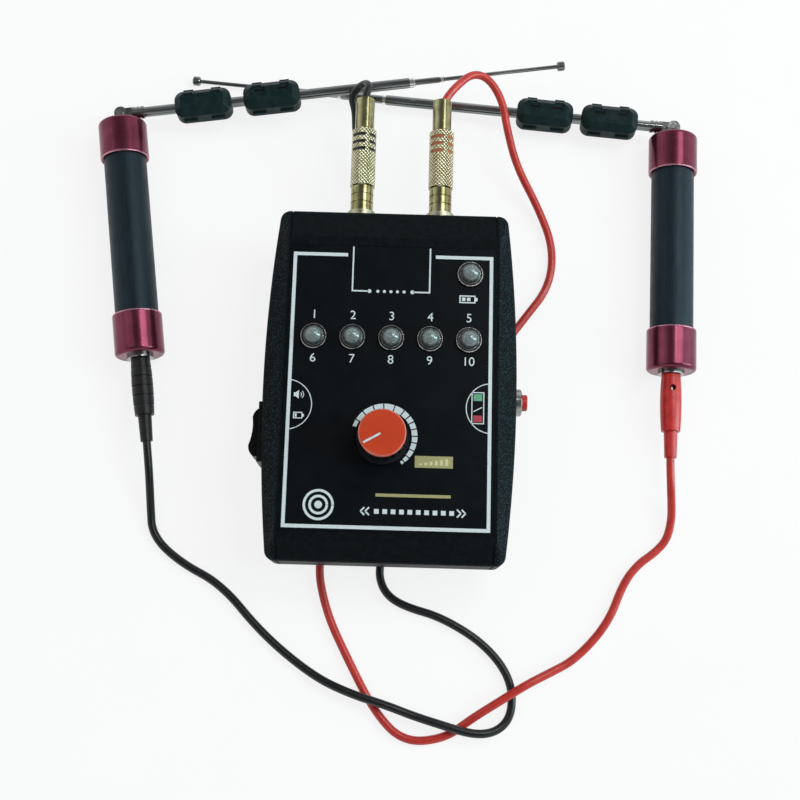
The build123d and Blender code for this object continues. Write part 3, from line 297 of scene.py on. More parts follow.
def shrink_sleeve(name, axis):
    """Satin blue-black sleeve with faint lengthwise drag marks."""
    made = Shader(name, specular=0.3)
    made.bsdf.inputs["Specular Tint"].default_value = (0.66, 0.86, 1.0, 1.0)
    drawn = made.math("MULTIPLY", made.along(axis), 0.12)
    across = made.along(Vector((axis.y, -axis.x, 0.0)))
    streak = made.noise(900.0, 4.0, made.joined(drawn, across, made.split(made.place)[2]))
    made.colour(made.blend(made.spread(streak, 0.0, 1.0),
                           (0.0040, 0.0090, 0.0130), (0.0085, 0.0170, 0.0230)))
    made.rough(made.spread(made.noise(240.0), 0.36, 0.5))
    made.relief(streak, 0.00006, 0.4)
    made.relief(made.noise(2800.0, 2.0), 0.00002, 0.3)
    return made.material


def knurled_gold(side, dark, light, valley_shade):
    """Pale gold plug: diamond knurling round the thick part, with painted shade in its valleys,
    and plain turning elsewhere, painted darker than the knurling as shade.
    """
    made = Shader(f"pale_gold_{side}", metallic=1.0)
    x, y, z = made.split(made.place)
    dx = made.math("SUBTRACT", x, PLUG_X[side] * MM)
    dz = made.math("SUBTRACT", z, PLUG_Z * MM)
    turns = made.math("MULTIPLY", made.math("ARCTAN2", dz, dx), 10.0)
    rise = made.math("MULTIPLY", y, 1950.0)
    threads = [made.math("ABSOLUTE", made.math("SINE", made.math(hand, turns, rise)))
               for hand in ("ADD", "SUBTRACT")]
    ridge = made.math("MULTIPLY", *threads)
    mask = made.math("GREATER_THAN", made.length(dx, dz), 4.98 * MM)
    drift = made.drift(260.0)
    # painted shade: the plain turning is coloured darker than the knurled gold
    turned = made.blend(drift, (0.23, 0.215, 0.092), (0.43, 0.415, 0.225))
    clean = made.blend(mask, turned, made.blend(drift, dark, light))
    # painted shade: dark colour in the knurl's valleys
    bottom = made.math("MULTIPLY", mask, made.spread(ridge, 1.0, 0.0, 0.04, 0.50))
    made.colour(made.blend(bottom, clean, valley_shade))
    made.rough(made.spread(made.noise(900.0), 0.11, 0.22))
    made.relief(made.math("MULTIPLY", ridge, mask), 0.0003)
    return made.material


def lens():
    """Clear moulded lamp with painted light in its colour: a pale middle painting the reflector's
    reflection, a ring of painted shade, a painted highlight on the shoulder and painted shade at
    the edge.
    """
    made = Shader("lamp_lens", roughness=0.04, specular=0.7, coat=1.0, coat_roughness=0.03)
    made.bsdf.inputs["Transmission Weight"].default_value = 0.35
    made.bsdf.inputs["IOR"].default_value = 1.49
    x, y = made.split(made.place)[:2]
    offsets = []
    for value, middle, step in ((x, 0.0, LAMP_STEP),
                                (y, LAMP_ROW_Y, BATTERY_LAMP_Y - LAMP_ROW_Y)):
        moved = made.math("ADD", value, (step / 2 - middle) * MM)
        cell = made.math("FLOORED_MODULO", moved, step * MM)
        offsets.append(made.math("SUBTRACT", cell, step / 2 * MM))
    uneven = made.math("MULTIPLY", made.math("SUBTRACT", made.cells(1500.0), 0.3), 0.5 * MM)
    radius = made.math("ADD", made.length(*offsets), uneven)
    painted_light_ramp = made.node("ShaderNodeValToRGB")
    made.link(made.spread(radius, 0.0, 1.0, 0.0, 4.0 * MM), painted_light_ramp.inputs[0])
    # painted shade: dark colour at the lens's edge
    rim = (0.03, 0.04, 0.04)
    # painted light: pale middle as painted reflection, dark painted-shade ring, bright
    # painted-highlight shoulder
    stops = ((0.0, (0.62, 0.76, 0.76)), (0.30, (0.44, 0.57, 0.57)), (0.54, (0.34, 0.44, 0.43)),
             (0.66, (0.14, 0.19, 0.19)), (0.76, (0.36, 0.44, 0.43)), (0.86, (0.24, 0.29, 0.28)),
             (0.95, rim))
    elements = painted_light_ramp.color_ramp.elements
    for place, tone in stops:
        stop = elements.new(place) if place else elements[0]
        stop.color = (*tone, 1.0)
    elements[-1].color = (*rim, 1.0)
    specks = made.spread(made.cells(1900.0), 0.0, 0.7, 0.15, 0.6)
    made.colour(made.blend(specks, painted_light_ramp.outputs["Color"], (0.10, 0.14, 0.14)))
    made.relief(made.noise(1100.0, 2.0), 0.00005, 0.5)
    return made.material


def knob_face():
    """Orange-red cap with a painted highlight ring near its edge."""
    made = Shader("knob_red", specular=0.2)
    x, y = made.split(made.place)[:2]
    radius = made.length(made.math("SUBTRACT", x, KNOB_X * MM),
                         made.math("SUBTRACT", y, KNOB_Y * MM))
    face = made.blend(made.drift(90.0, 2.0), (0.58, 0.045, 0.013), (0.64, 0.062, 0.015))
    # painted highlight: a paler ring near the cap's rim
    edge = made.math("MULTIPLY", made.spread(radius, 0.0, 0.5, 8.5 * MM, 8.75 * MM),
                     made.spread(made.noise(220.0), 0.3, 1.0))
    made.colour(made.blend(edge, face, (0.86, 0.46, 0.38)))
    made.rough(made.spread(made.noise(700.0), 0.34, 0.46))
    made.relief(made.noise(2200.0), 0.00003, 0.35)
    return made.material


def board():
    """Green circuit board with raised traces."""
    made = mottled("board_green", (0.008, 0.055, 0.022), (0.02, 0.10, 0.04),
                   300.0, (0.3, 0.45), specular=0.4)
    made.relief(made.math("GREATER_THAN", made.cells(520.0), 0.45), 0.00004, 0.6)
    return made.material


def lead_skin(name, dark, light, specular=0.5):
    made = mottled(name, dark, light, 180.0, (0.28, 0.42),
                   specular=specular, coat=0.15, coat_roughness=0.2)
    made.relief(made.noise(1200.0), 0.00004, 0.35)
    return made.material


def ink(name, dark, light):
    made = mottled(name, dark, light, 1500.0, (0.42, 0.55), specular=0.35)
    made.relief(made.noise(5200.0, 2.0), 0.00001, 0.25)
    return made.material


case_plastic = pebbled_plastic()
label_print = label_sheet()
black_rubber = rubber("black_rubber", (0.006, 0.006, 0.007), (0.013, 0.013, 0.014))
screw_steel = metal("screw_steel", (0.32, 0.32, 0.33), (0.48, 0.48, 0.49))
board_green = board()
lamp_lens = lens()
lamp_holder = metal("lamp_holder", (0.045, 0.047, 0.047), (0.09, 0.093, 0.09), (0.16, 0.3))
# painted highlight: a pale copy of the holder's dark metal, for its edge rings
lamp_edge_highlight = metal("lamp_edge_highlight", (0.42, 0.43, 0.42), (0.66, 0.67, 0.64), (0.16, 0.3))
plated_metal = metal("plated_metal", (0.24, 0.245, 0.24), (0.42, 0.425, 0.41), (0.14, 0.28))
knob_red = knob_face()
knob_black = plain_plastic("knob_black", (0.005, 0.006, 0.009), (0.012, 0.014, 0.019),
                           (0.3, 0.44), 0.2)
switch_black = plain_plastic("switch_black", (0.0035, 0.0028, 0.0030), (0.0075, 0.0060, 0.0062),
                             (0.32, 0.44), 0.12)
button_red = plain_plastic("button_red", (0.45, 0.014, 0.014), (0.6, 0.026, 0.022), (0.28, 0.4))
gold = {
    "left": knurled_gold("left", (0.66, 0.62, 0.37), (0.92, 0.90, 0.62), (0.10, 0.085, 0.028)),
    # The right plug's redder gold and redder valleys carry a painted reflection of the red lead
    # beside it.
    "right": knurled_gold("right", (0.62, 0.56, 0.34), (0.90, 0.84, 0.58), (0.13, 0.075, 0.03)),
}
lead_black = lead_skin("lead_black", (0.0045, 0.005, 0.006), (0.009, 0.010, 0.011), 0.34)
lead_red = lead_skin("lead_red", (0.50, 0.018, 0.012), (0.64, 0.036, 0.022))
sleeve_black = plain_plastic("sleeve_black", (0.006, 0.006, 0.007), (0.013, 0.013, 0.014),
                             (0.34, 0.48), 0.3)
sleeve_red = plain_plastic("sleeve_red", (0.50, 0.012, 0.014), (0.66, 0.03, 0.026),
                           (0.26, 0.4), 0.45)
maroon = {side: anodised(f"maroon_metal_{side}", axis) for side, axis in HANDLE_AXIS.items()}
# painted highlight: a lighter copy of the cap maroon for the rim beads
maroon_rim_highlight = metal("maroon_rim_highlight", (0.44, 0.19, 0.25), (0.58, 0.28, 0.34), (0.2, 0.34))
grip = {side: shrink_sleeve(f"grip_black_{side}", axis) for side, axis in HANDLE_AXIS.items()}
socket_metal = metal("socket_metal", (0.36, 0.34, 0.24), (0.56, 0.53, 0.40), (0.3, 0.46))
antenna_chrome = chrome("antenna_chrome")
ferrite_black = plain_plastic("ferrite_black", (0.0052, 0.0146, 0.0154), (0.0124, 0.0285, 0.0300),
                              (0.32, 0.48), 0.09)
battery_wrap = plain_plastic("battery_wrap", (0.03, 0.035, 0.04), (0.05, 0.055, 0.06), (0.25, 0.4))
white_ink = ink("white_ink", (0.64, 0.71, 0.74), (0.76, 0.83, 0.85))
khaki_ink = ink("khaki_ink", (0.36, 0.34, 0.14), (0.45, 0.43, 0.2))
straw_ink = ink("straw_ink", (0.62, 0.60, 0.30), (0.7, 0.68, 0.38))
green_ink = ink("green_ink", (0.10, 0.36, 0.20), (0.16, 0.46, 0.27))
band_red = ink("band_red", (0.36, 0.10, 0.04), (0.46, 0.16, 0.07))
red_ink = ink("red_ink", (0.42, 0.03, 0.05), (0.55, 0.06, 0.08))

finishes = {
    "upper_case": case_plastic, "lower_case": case_plastic, "battery_door": case_plastic,
    "front_label": label_print, "rubber_feet": black_rubber, "case_screws": screw_steel,
    "circuit_board": board_green, "buzzer": switch_black, "battery": battery_wrap,
    "battery_snap": switch_black, "indicator_leds": lamp_lens, "led_bezels": lamp_holder,
    "pot_body": plated_metal, "pot_nut": plated_metal, "pot_shaft": plated_metal,
    "knob_cap": knob_red, "knob_skirt": knob_black, "rocker_frame": switch_black,
    "rocker": switch_black, "button_bush": plated_metal, "button_cap": button_red,
    "jack_sockets": socket_metal, "banana_sleeve_left": sleeve_black,
    "banana_sleeve_right": sleeve_red,
}
for side in ("left", "right"):
    paired = {
        "gold_plug_body": gold[side], "gold_plug_shell": gold[side],
        "handle_top_cap": maroon[side], "handle_bottom_cap": maroon[side],
        "grip_sleeve": grip[side], "banana_socket": plated_metal, "banana_pin": plated_metal,
        "antenna_clevis": plated_metal, "hinge_pin": plated_metal, "antenna_tip": antenna_chrome,
        "ferrite_bases": ferrite_black, "ferrite_lid_1": ferrite_black,
        "ferrite_lid_2": ferrite_black,
    }
    finishes.update({f"{name}_{side}": finish for name, finish in paired.items()})
    slide_axis = joint_axis(f"{side}_tip_slide")
    for name in ("antenna_tube", "antenna_second_section", "antenna_third_section"):
        node = f"{name}_{side}"
        finishes[node] = chrome(f"{node}_chrome", (node, slide_axis))
for name, finish in finishes.items():
    for holder in nodes[name].material_slots:
        holder.material = finish


# ---------------------------------------------------------------- leads
def lead(name, points, finish):
    """Flexible lead: a smooth spline with its route's points (millimetres) as control points."""
    data = bpy.data.curves.new(name, "CURVE")
    data.dimensions = "3D"
    data.bevel_depth = 1.7 * MM
    data.bevel_resolution = 5
    data.resolution_u = 10
    data.use_fill_caps = True
    spline = data.splines.new("NURBS")
    spline.points.add(len(points) - 1)
    for point, place in zip(spline.points, points):
        point.co = (*(value * MM for value in place), 1.0)
    spline.order_u = 3
    spline.use_endpoint_u = True
    data.materials.append(finish)
    piece = add(name, data)
    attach(piece, "case")
    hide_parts(name.removesuffix("_run"))


# Each route goes from the banana plug, under the case, to the gold plug.
black_points = [
    (-99.718, -59.710, 10.3), (-99.046, -64.261, 10.3), (-97.8, -75.1, 8.6), (-97.4, -86.7, 3.8),
    (-96.2, -99.1, 1.8), (-84.0, -109.7, 1.8), (-66.5, -118.1, 1.8), (-49.0, -137.5, 1.8),
    (-28.0, -153.3, 2.8), (-13.0, -159.7, 5.8), (2.0, -163.9, 5.8), (12.6, -167.7, 4.8),
    (23.4, -170.7, 5.8), (37.4, -174.5, 5.8), (47.0, -172.9, 3.0), (52.6, -165.9, 1.8),
    (51.8, -152.1, 1.8), (41.0, -138.9, 1.8), (23.6, -128.9, 1.8), (9.6, -125.3, 1.8),
    (2.4, -121.7, 1.8), (-1.4, -116.7, 1.8), (-2.6, -109.9, 1.8), (0.2, -99.5, 1.8),
    (3.2, -83.5, 1.8), (3.6, -53.5, 1.8), (-3.2, -17.5, 1.8), (-12.6, 14.5, 1.8),
    (-14.4, 42.5, 3.2), (-16.4, 64.5, 8.4), (-18.4, 78.6, 11.6), (-18.6, 86.0, 13.4),
    (-20.6, 91.2, 17.1), (-16.9, 95.2, 18.9), (-13.8, 95.0, 22.4), (-12.7, 91.8, 25.1),
    (-14.0, 87.9, 25.5), (-14.0, 83.3, 25.5),
]
red_points = [
    (115.957, -60.545, 10.3), (115.828, -65.144, 10.3), (116.2, -73.7, 9.0), (117.0, -80.9, 6.0),
    (117.4, -87.3, 3.2), (115.6, -95.1, 1.8), (110.4, -100.5, 1.8), (103.6, -105.3, 1.8),
    (97.4, -113.3, 1.8), (91.2, -129.5, 1.8), (78.0, -144.1, 1.8), (66.5, -150.1, 3.4),
    (58.0, -154.3, 5.8), (45.6, -162.1, 5.8), (36.6, -168.1, 2.6), (25.4, -176.5, 1.8),
    (9.0, -178.1, 1.8), (-2.8, -166.5, 1.8), (-13.8, -146.9, 1.8), (-23.6, -127.9, 1.8),
    (-28.2, -107.5, 1.8), (-21.0, -85.5, 3.6), (-4.0, -66.9, 5.5), (9.4, -55.1, 5.5),
    (26.0, -40.5, 3.6), (43.0, -20.7, 1.8), (56.0, -2.5, 1.8), (67.1, 12.4, 1.8),
    (68.9, 30.2, 2.0), (62.0, 47.4, 4.4), (51.8, 64.2, 9.8), (47.0, 79.8, 14.6),
    (44.9, 90.8, 17.6), (38.6, 100.2, 20.0), (31.2, 100.7, 22.9), (24.0, 92.6, 25.6),
    (19.9, 86.8, 25.5), (18.6, 83.3, 25.5),
]
lead("black_lead_run", black_points, lead_black)
lead("red_lead_run", red_points, lead_red)


# ---------------------------------------------------------------- mesh work
def keep(name, bm, finish, body):
    """Turns finished mesh work into a piece that rides on a body."""
    data = bpy.data.meshes.new(name)
    bm.to_mesh(data)
    bm.free()
    data.materials.append(finish)
    piece = add(name, data)
    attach(piece, body)


def prism(bm, outline, low, high):
    """Adds an upright prism over a flat outline (millimetres)."""
    bottom = [bm.verts.new((x * MM, y * MM, low * MM)) for x, y in outline]
    top = [bm.verts.new((x * MM, y * MM, high * MM)) for x, y in outline]
    bm.faces.new(bottom[::-1])
    bm.faces.new(top)
    for i in range(len(outline)):
        j = (i + 1) % len(outline)
        bm.faces.new((bottom[i], bottom[j], top[j], top[i]))


def skin(bm, rows, smooth=False):
    """Joins each row of vertices, a closed loop, to the next row."""
    for one, two in zip(rows, rows[1:]):
        for i in range(len(one)):
            j = (i + 1) % len(one)
            bm.faces.new((one[i], one[j], two[j], two[i])).smooth = smooth


def bar(x0, y0, x1, y1):
    return [(x0, y0), (x1, y0), (x1, y1), (x0, y1)]


def stroke(start, end, width):
    """Outline of a straight pen stroke."""
    start, end = Vector(start), Vector(end)
    along = (end - start).normalized()
    off = Vector((-along.y, along.x)) * width / 2
    return [tuple(corner) for corner in (start - off, end - off, end + off, start + off)]


def band(cx, cy, inner, outer, first, last, steps):
    """Outline of a ring sector, angles in degrees, anticlockwise."""
    angles = [radians(first + (last - first) * i / steps) for i in range(steps + 1)]
    return ([(cx + outer * cos(a), cy + outer * sin(a)) for a in angles] +
            [(cx + inner * cos(a), cy + inner * sin(a)) for a in reversed(angles)])


def disc(cx, cy, radius, steps=20):
    angles = [2 * pi * i / steps for i in range(steps)]
    return [(cx + radius * cos(a), cy + radius * sin(a)) for a in angles]


def frame_lines(x0, y0, x1, y1, width):
    """The four bars of a rectangular frame."""
    return [bar(x0, y0, x1, y0 + width), bar(x0, y1 - width, x1, y1),
            bar(x0, y0 + width, x0 + width, y1 - width),
            bar(x1 - width, y0 + width, x1, y1 - width)]


# ---------------------------------------------------------------- printed marks on the front
def printed(name, outlines, finish, low=INK_LOW, high=INK_HIGH):
    """Raised ink on the front label, drawn from the middle of the case."""
    bm = bmesh.new()
    for outline in outlines:
        prism(bm, [(x, y + CASE_Y) for x, y in outline], low, high)
    keep(name, bm, finish, "case")


def dial_bars():
    """Bars round the knob, deepest at the top, with a gap between neighbours."""
    cx, cy, outer, half_gap = -1.6, -22.4, 12.9, 1.1
    edges = (164, 150, 132, 111.5, 92.3, 72.2, 54, 40.4, 28, 15, 1.5, -11, -25.4, -40, -51, -58)
    depths = (1.5, 2.0, 2.5, 2.7, 2.7, 2.6, 2.4, 2.3, 2.2, 2.2, 2.1, 2.0, 1.8, 1.5, 1.2)
    return [band(cx, cy, outer - depth, outer, last + half_gap, first - half_gap, 5)
            for first, last, depth in zip(edges, edges[1:], depths)]


def chevron(tip, way):
    """Two strokes that meet at a tip and open to one side."""
    y, reach, width = -51.6, 1.5, 0.6
    return [stroke((tip, y), (tip + way * reach, y + rise), width) for rise in (reach, -reach)]


printed("border_lines", [
    bar(-39.9, -58.6, -38.5, 51.6), bar(38.5, -58.6, 39.9, 51.6), bar(-38.5, -58.6, 38.5, -57.2),
    bar(-38.5, 50.2, -18.2, 51.6), bar(16.9, 50.2, 38.5, 51.6)], white_ink)
printed("bracket_lines", [
    bar(-16.3, 35.7, -15.7, 54.4), bar(-15.7, 35.7, -9.6, 36.3), disc(-9.2, 36.0, 0.8),
    bar(14.4, 35.7, 15.0, 54.4), bar(8.3, 35.7, 14.4, 36.3), disc(7.9, 36.0, 0.8)]
    + [disc(-0.65 + step * 2.6, 36.0, 0.62) for step in (-2, -1, 0, 1, 2)], white_ink)
printed("dial_scale", dial_bars(), white_ink)
printed("sound_and_power_marks", [
    band(-40.1, -10.7, 9.72, 10.08, -80.5, 80.5, 40),
    bar(-37.3, -7.5, -36.6, -6.0), [(-36.6, -7.5), (-35.3, -8.5), (-35.3, -5.0), (-36.6, -6.0)],
    band(-35.3, -6.75, 0.9, 1.2, -48, 48, 8), band(-35.3, -6.75, 1.7, 2.0, -48, 48, 10),
    bar(-33.6, -15.6, -33.0, -14.4), bar(-36.6, -15.7, -35.8, -14.3)]
    + frame_lines(-37.2, -16.3, -33.6, -13.7, 0.38), white_ink)
printed("level_mark_lines", [
    band(39.9, -10.3, 9.72, 10.08, 98.0, 262.0, 40), stroke((32.8, -11.7), (36.2, -9.9), 0.36)]
    + frame_lines(32.0, -16.6, 37.0, -3.9, 0.4), white_ink)
printed("level_mark_full", [bar(32.8, -7.4, 36.2, -4.7)], green_ink)
printed("level_mark_low", [bar(32.8, -15.8, 36.2, -13.2)], red_ink)
printed("lamp_power_mark", frame_lines(26.6, 32.1, 33.0, 35.3, 0.5) + [
    bar(33.0, 33.0, 33.8, 34.4), bar(27.6, 33.0, 29.0, 34.4), bar(29.6, 33.0, 31.0, 34.4)],
    white_ink)
printed("control_plate", [bar(10.5, -34.3, 25.2, -29.7)], khaki_ink)
printed("control_plate_bars", [
    bar(12.2 + step * 2.0, -33.3, 13.4 + step * 2.0, -32.6 + step * 0.38) for step in range(6)],
    straw_ink, INK_HIGH - 0.01, INK_HIGH + 0.03)
printed("plain_rule", [bar(-4.2, -45.9, 24.6, -44.7)], khaki_ink)
printed("plain_chevrons", chevron(-9.8, 1) + chevron(-8.0, 1) + chevron(30.4, -1)
        + chevron(28.6, -1) + [bar(-4.6 + step * 3.2, -52.5, -2.8 + step * 3.2, -50.7)
                               for step in range(10)], white_ink)
printed("plain_rings", [disc(-26.0, -49.6, 1.5)] + [
    band(-26.0, -49.6, inner, inner + 1.0, 0, 358, 48) for inner in (2.8, 5.0)], white_ink)


def numeral(number, x, y):
    """Plain number beside a lamp, from the middle of the case."""
    name = f"lamp_number_{number}"
    data = bpy.data.curves.new(name, "FONT")
    data.body = str(number)
    data.size = 5.0 * MM
    data.align_x = "CENTER"
    data.align_y = "CENTER"
    data.extrude = (INK_HIGH - INK_LOW) / 2 * MM
    data.materials.append(white_ink)
    piece = add(name, data)
    piece.location = (x * MM, (y + CASE_Y) * MM, (INK_LOW + INK_HIGH) / 2 * MM)
    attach(piece, "case")


for step in range(5):
    numeral(step + 1, (step - 2) * LAMP_STEP, 25.8)
    numeral(step + 6, (step - 2) * LAMP_STEP, 8.1)


# ---------------------------------------------------------------- bands of the gold plugs
def ring_block(bm, x0, y0, y1, inner, outer, first, last, steps):
    """Adds a curved block round a plug's axis."""
    rows = []
    for i in range(steps + 1):
        a = radians(first + (last - first) * i / steps)
        rows.append([bm.verts.new(((x0 + r * cos(a)) * MM, y * MM, (PLUG_Z + r * sin(a)) * MM))
                     for r, y in ((inner, y0), (outer, y0), (outer, y1), (inner, y1))])
    skin(bm, rows)
    bm.faces.new(rows[0][::-1])
    bm.faces.new(rows[-1])


def plug_bands(side, finish):
    """Three painted bands, each in quarters, with gold bridges between the quarters."""
    first_y, pitch, half_width, lap = 68.1, 3.2, 0.63, 0.015
    inner, painted, proud = 4.8, 5.03, 5.09
    filled, bridges = bmesh.new(), bmesh.new()
    for ring in range(3):
        low, high = (first_y - pitch * ring + way * half_width for way in (-1, 1))
        for quarter in range(4):
            start = 72 + 90 * quarter
            ring_block(filled, PLUG_X[side], low, high, inner, painted, start + 9, start + 81, 12)
            ring_block(bridges, PLUG_X[side], low - lap, high + lap, inner, proud,
                       start - 8.6, start + 8.6, 4)
    keep(f"plug_bands_{side}", filled, finish, "case")
    keep(f"plug_bridges_{side}", bridges, gold[side], "case")


plug_bands("left", lead_black)
plug_bands("right", band_red)


# ---------------------------------------------------------------- rolled rims of the handle caps, coloured as painted highlights
def cap_rim(name, node, axis, open_way, finish, body):
    """Rounded bead round the edge of a cap that the grip goes into, in a paler maroon that paints
    its highlight.
    """
    bead, steps, sides = 0.42 * MM, 72, 10
    points = [vertex.co for vertex in nodes[node].data.vertices]
    across, up = Vector((axis.y, -axis.x, 0.0)), Vector((0.0, 0.0, 1.0))
    edge = max(open_way * axis.dot(point) for point in points) * open_way
    low, high = (pick(across.dot(point) for point in points) for pick in (min, max))
    floor, roof = (pick(point.z for point in points) for pick in (min, max))
    centre = across * (low + high) / 2 + up * (floor + roof) / 2 + axis * edge
    radius = (high - low) / 2 - bead
    bm = bmesh.new()
    rows = []
    for i in range(steps):
        a = 2 * pi * i / steps
        out = across * cos(a) + up * sin(a)
        middle = centre + out * radius
        turns = [2 * pi * k / sides for k in range(sides)]
        rows.append([bm.verts.new(middle + (out * cos(b) + axis * sin(b)) * bead) for b in turns])
    skin(bm, rows + rows[:1], smooth=True)
    bmesh.ops.recalc_face_normals(bm, faces=bm.faces)
    keep(name, bm, finish, body)


for side, axis in HANDLE_AXIS.items():
    for end, open_way in (("top", -1), ("bottom", 1)):
        cap_rim(f"{end}_cap_rim_{side}", f"handle_{end}_cap_{side}", axis, open_way, maroon_rim_highlight,
                f"{side}_handle")


# ---------------------------------------------------------------- snap latches of the ferrites
def lid_latches(side, number):
    """Two snap tongues on a ferrite's lid, each with a dark sheet of painted shade for the slot
    before it and one at its end.
    """
    half_pitch, inset, half, chamfer, sunk = 5.0, 1.1, 1.8, 0.3, 0.1
    axis = joint_axis(f"{side}_ferrite_lid_{number}_open")
    across = Vector((0.0, 0.0, 1.0)).cross(axis).normalized()
    lay = Matrix((axis, across, axis.cross(across)))
    lid = nodes[f"ferrite_lid_{number}_{side}"]
    spots = [lay @ vertex.co / MM for vertex in lid.data.vertices]
    top = max(spot.z for spot in spots)
    face = [spot for spot in spots if spot.z > top - 0.02]
    middle = (min(spot.x for spot in face) + max(spot.x for spot in face)) / 2
    y = max(spot.y for spot in face) - inset
    tongues, slot_shades = bmesh.new(), bmesh.new()
    for way in (-1, 1):
        x = middle + half_pitch * way
        tongue = [(x - half, y - 0.5), (x + half, y - 0.5), (x + half, y + 0.6 - chamfer),
                  (x + half - chamfer, y + 0.6), (x - half + chamfer, y + 0.6),
                  (x - half, y + 0.6 - chamfer)]
        prism(tongues, tongue, top - sunk, top + 0.28)
        for outline in (bar(x - half, y - 1.3, x + half, y - 0.5),
                        bar(x + 1.95, y - 2.1, x + 2.6, y + 0.6)):
            # painted shade: dark sheets where the slots are, with no opening cut
            prism(slot_shades, outline, top - sunk, top + 0.05)
    for bm in (tongues, slot_shades):
        bm.transform(lay.transposed().to_4x4())
    body = f"{side}_ferrite_lid_{number}"
    keep(f"lid_tongues_{side}_{number}", tongues, ferrite_black, body)
    keep(f"lid_slot_shades_{side}_{number}", slot_shades, switch_black, body)


for side, number in (("left", 2), ("right", 1), ("right", 2)):
    lid_latches(side, number)


# ---------------------------------------------------------------- pointer of the knob, lamps
def pointer():
    """Thin white bar on the knob's face, with blunt points at its ends."""
    near, far, half_width, blunt = 0.75, 8.05, 0.40, 0.1
    way = heading(210.0).to_2d()
    off = Vector((-way.y, way.x)) * half_width
    middle = Vector((KNOB_X, KNOB_Y))
    start, end = middle + way * near, middle + way * far
    outline = [start - off, end - off, end + way * blunt, end + off, start + off,
               start - way * blunt]
    bm = bmesh.new()
    prism(bm, [tuple(corner) for corner in outline], 54.16, 54.56)
    keep("knob_pointer", bm, white_ink, "knob")


def round_vertex(bm, x, y, radius, height, angle):
    """Adds a vertex round an upright axis (millimetres)."""
    return bm.verts.new(((x + radius * cos(angle)) * MM, (y + radius * sin(angle)) * MM,
                         height * MM))


def lamp_works(name, x, y):
    """Reflector cup, post and die inside a clear lamp."""
    bm = bmesh.new()
    profile = ((0.0, 41.75), (0.75, 41.75), (1.35, 42.55), (1.6, 42.55), (1.25, 41.45),
               (0.55, 41.1), (0.55, 40.4), (0.0, 40.4))
    steps = 20
    rows = [[round_vertex(bm, x, y, r, z, 2 * pi * i / steps) for i in range(steps if r else 1)]
            for r, z in profile]
    for one, two in zip(rows, rows[1:]):
        for i in range(steps):
            j = (i + 1) % steps
            loop = [one[i % len(one)], one[j % len(one)], two[j % len(two)], two[i % len(two)]]
            bm.faces.new(list(dict.fromkeys(loop)))
    bmesh.ops.recalc_face_normals(bm, faces=bm.faces)
    prism(bm, bar(x + 1.9, y - 0.5, x + 2.6, y + 0.5), 40.4, 42.2)
    keep(name, bm, plated_metal, "case")


def lamp_rings(name, x, y):
    """Bright edges of a lamp holder, coloured as painted highlights: round its rim and where the
    lamp comes through.
    """
    bm = bmesh.new()
    steps = 48
    for inner, outer, low, high in ((4.72, 5.08, 40.56, 40.68), (3.84, 4.14, 40.56, 40.72)):
        slope = (outer - inner) * 0.3
        profile = ((inner, low), (inner + slope, high), (outer - slope, high), (outer, low))
        rows = [[round_vertex(bm, x, y, r, z, 2 * pi * i / steps) for r, z in profile]
                for i in range(steps)]
        skin(bm, rows + rows[:1])
    bmesh.ops.recalc_face_normals(bm, faces=bm.faces)
    keep(name, bm, lamp_edge_highlight, "case")


pointer()
lamps = [(f"lamp_{step + 1}", (step - 2) * LAMP_STEP, LAMP_ROW_Y) for step in range(5)]
for name, x, y in lamps + [("battery_lamp", BATTERY_LAMP_X, BATTERY_LAMP_Y)]:
    lamp_works(f"{name}_works", x, y)
    lamp_rings(f"{name}_rings", x, y)


# ---------------------------------------------------------------- floor and light
def seen_rays(tree):
    """1 for rays from the camera, a mirror or glass, and 0 for the others."""
    rays = tree.nodes.new("ShaderNodeLightPath")
    seen = rays.outputs["Is Camera Ray"]
    for kind in ("Is Glossy Ray", "Is Transmission Ray"):
        most = tree.nodes.new("ShaderNodeMath")
        most.operation = "MAXIMUM"
        tree.links.new(seen, most.inputs[0])
        tree.links.new(rays.outputs[kind], most.inputs[1])
        seen = most.outputs[0]
    return seen


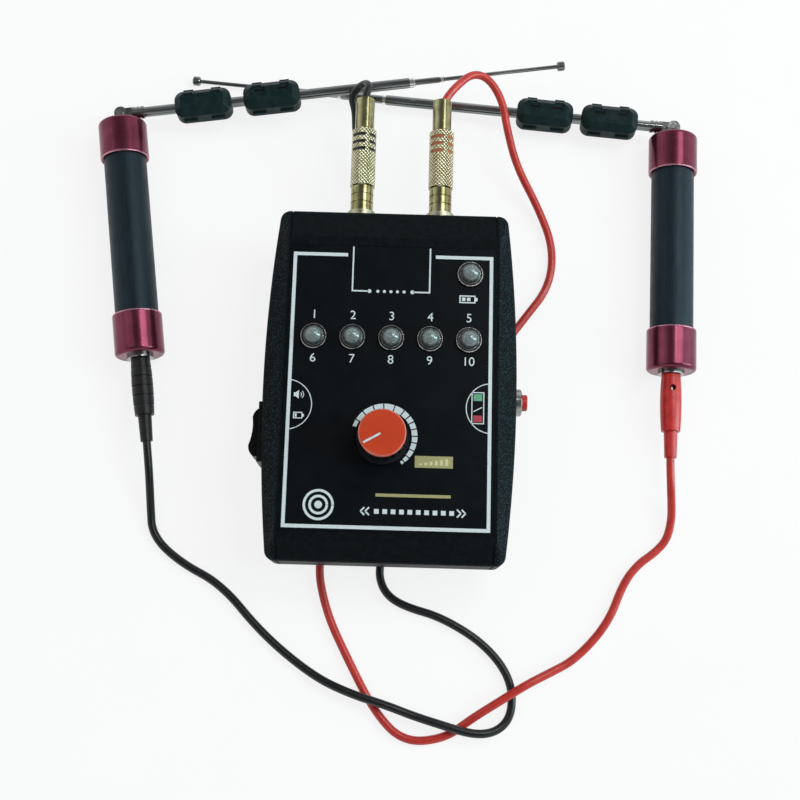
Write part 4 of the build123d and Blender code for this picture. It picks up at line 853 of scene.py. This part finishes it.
def stage_floor():
    """White paper that glows where it is seen or mirrored, and keeps the part's shadow."""
    made = Shader("floor_paper", roughness=0.9, specular=0.1)
    made.colour(made.blend(made.drift(30.0, 3.0), (0.93, 0.93, 0.93), (0.96, 0.96, 0.96)))
    glow = made.node("ShaderNodeEmission", Color=(1.0, 1.0, 1.0, 1.0), Strength=1.02)
    mixer = made.node("ShaderNodeMixShader")
    made.link(made.math("MULTIPLY", seen_rays(made.tree), 0.80), mixer.inputs[0])
    made.link(made.bsdf.outputs[0], mixer.inputs[1])
    made.link(glow.outputs[0], mixer.inputs[2])
    made.link(mixer.outputs[0], made.tree.nodes["Material Output"].inputs["Surface"])
    data = bpy.data.meshes.new("floor")
    data.from_pydata([(-3, -3, 0), (3, -3, 0), (3, 3, 0), (-3, 3, 0)], [], [(0, 1, 2, 3)])
    data.materials.append(made.material)
    floor = add("floor", data)


def stage_world():
    """Pale studio: bright low down, where it is seen and mirrored, and dim overhead."""
    world = bpy.data.worlds.new("studio")
    scene.world = world
    world.use_nodes = True
    tree = world.node_tree
    back = tree.nodes["Background"]
    way = tree.nodes.new("ShaderNodeSeparateXYZ")
    tree.links.new(tree.nodes.new("ShaderNodeTexCoord").outputs["Generated"], way.inputs[0])
    height = tree.nodes.new("ShaderNodeMapRange")
    for socket, number in zip(height.inputs[1:5], (0.35, 0.85, 1.0, 0.18)):
        socket.default_value = number
    tree.links.new(way.outputs[2], height.inputs[0])
    level = tree.nodes.new("ShaderNodeMix")
    level.data_type = "FLOAT"
    level.inputs[2].default_value = 0.42
    tree.links.new(seen_rays(tree), level.inputs[0])
    tree.links.new(height.outputs[0], level.inputs[3])
    back.inputs["Color"].default_value = (0.97, 0.985, 1.0, 1.0)
    tree.links.new(level.outputs[0], back.inputs["Strength"])


def area_light(name, place, aim, size, power, colour=(1.0, 1.0, 1.0)):
    """Soft rectangular lamp, placed and aimed in metres."""
    data = bpy.data.lights.new(name, "AREA")
    data.shape = "RECTANGLE"
    data.size, data.size_y = size
    data.energy = power
    data.color = colour
    piece = add(name, data)
    piece.location = place
    piece.rotation_euler = (Vector(aim) - Vector(place)).to_track_quat("-Z", "Y").to_euler()


stage_floor()
stage_world()
area_light("key_light", (0.46, 0.26, 0.80), (0.0, -0.02, 0.0), (0.45, 0.45), 2.3)
area_light("fill_light", (-0.55, 0.18, 0.72), (0.0, -0.02, 0.0), (0.22, 0.6), 0.3)
area_light("side_light", (1.90, 0.0, 0.84), (0.05, 0.0, 0.0), (0.6, 1.7), 23.0, (0.64, 0.97, 1.0))
area_light("spark_light", (0.22, 0.20, 0.72), (0.0, -0.04, 0.03), (0.05, 0.05), 0.2)
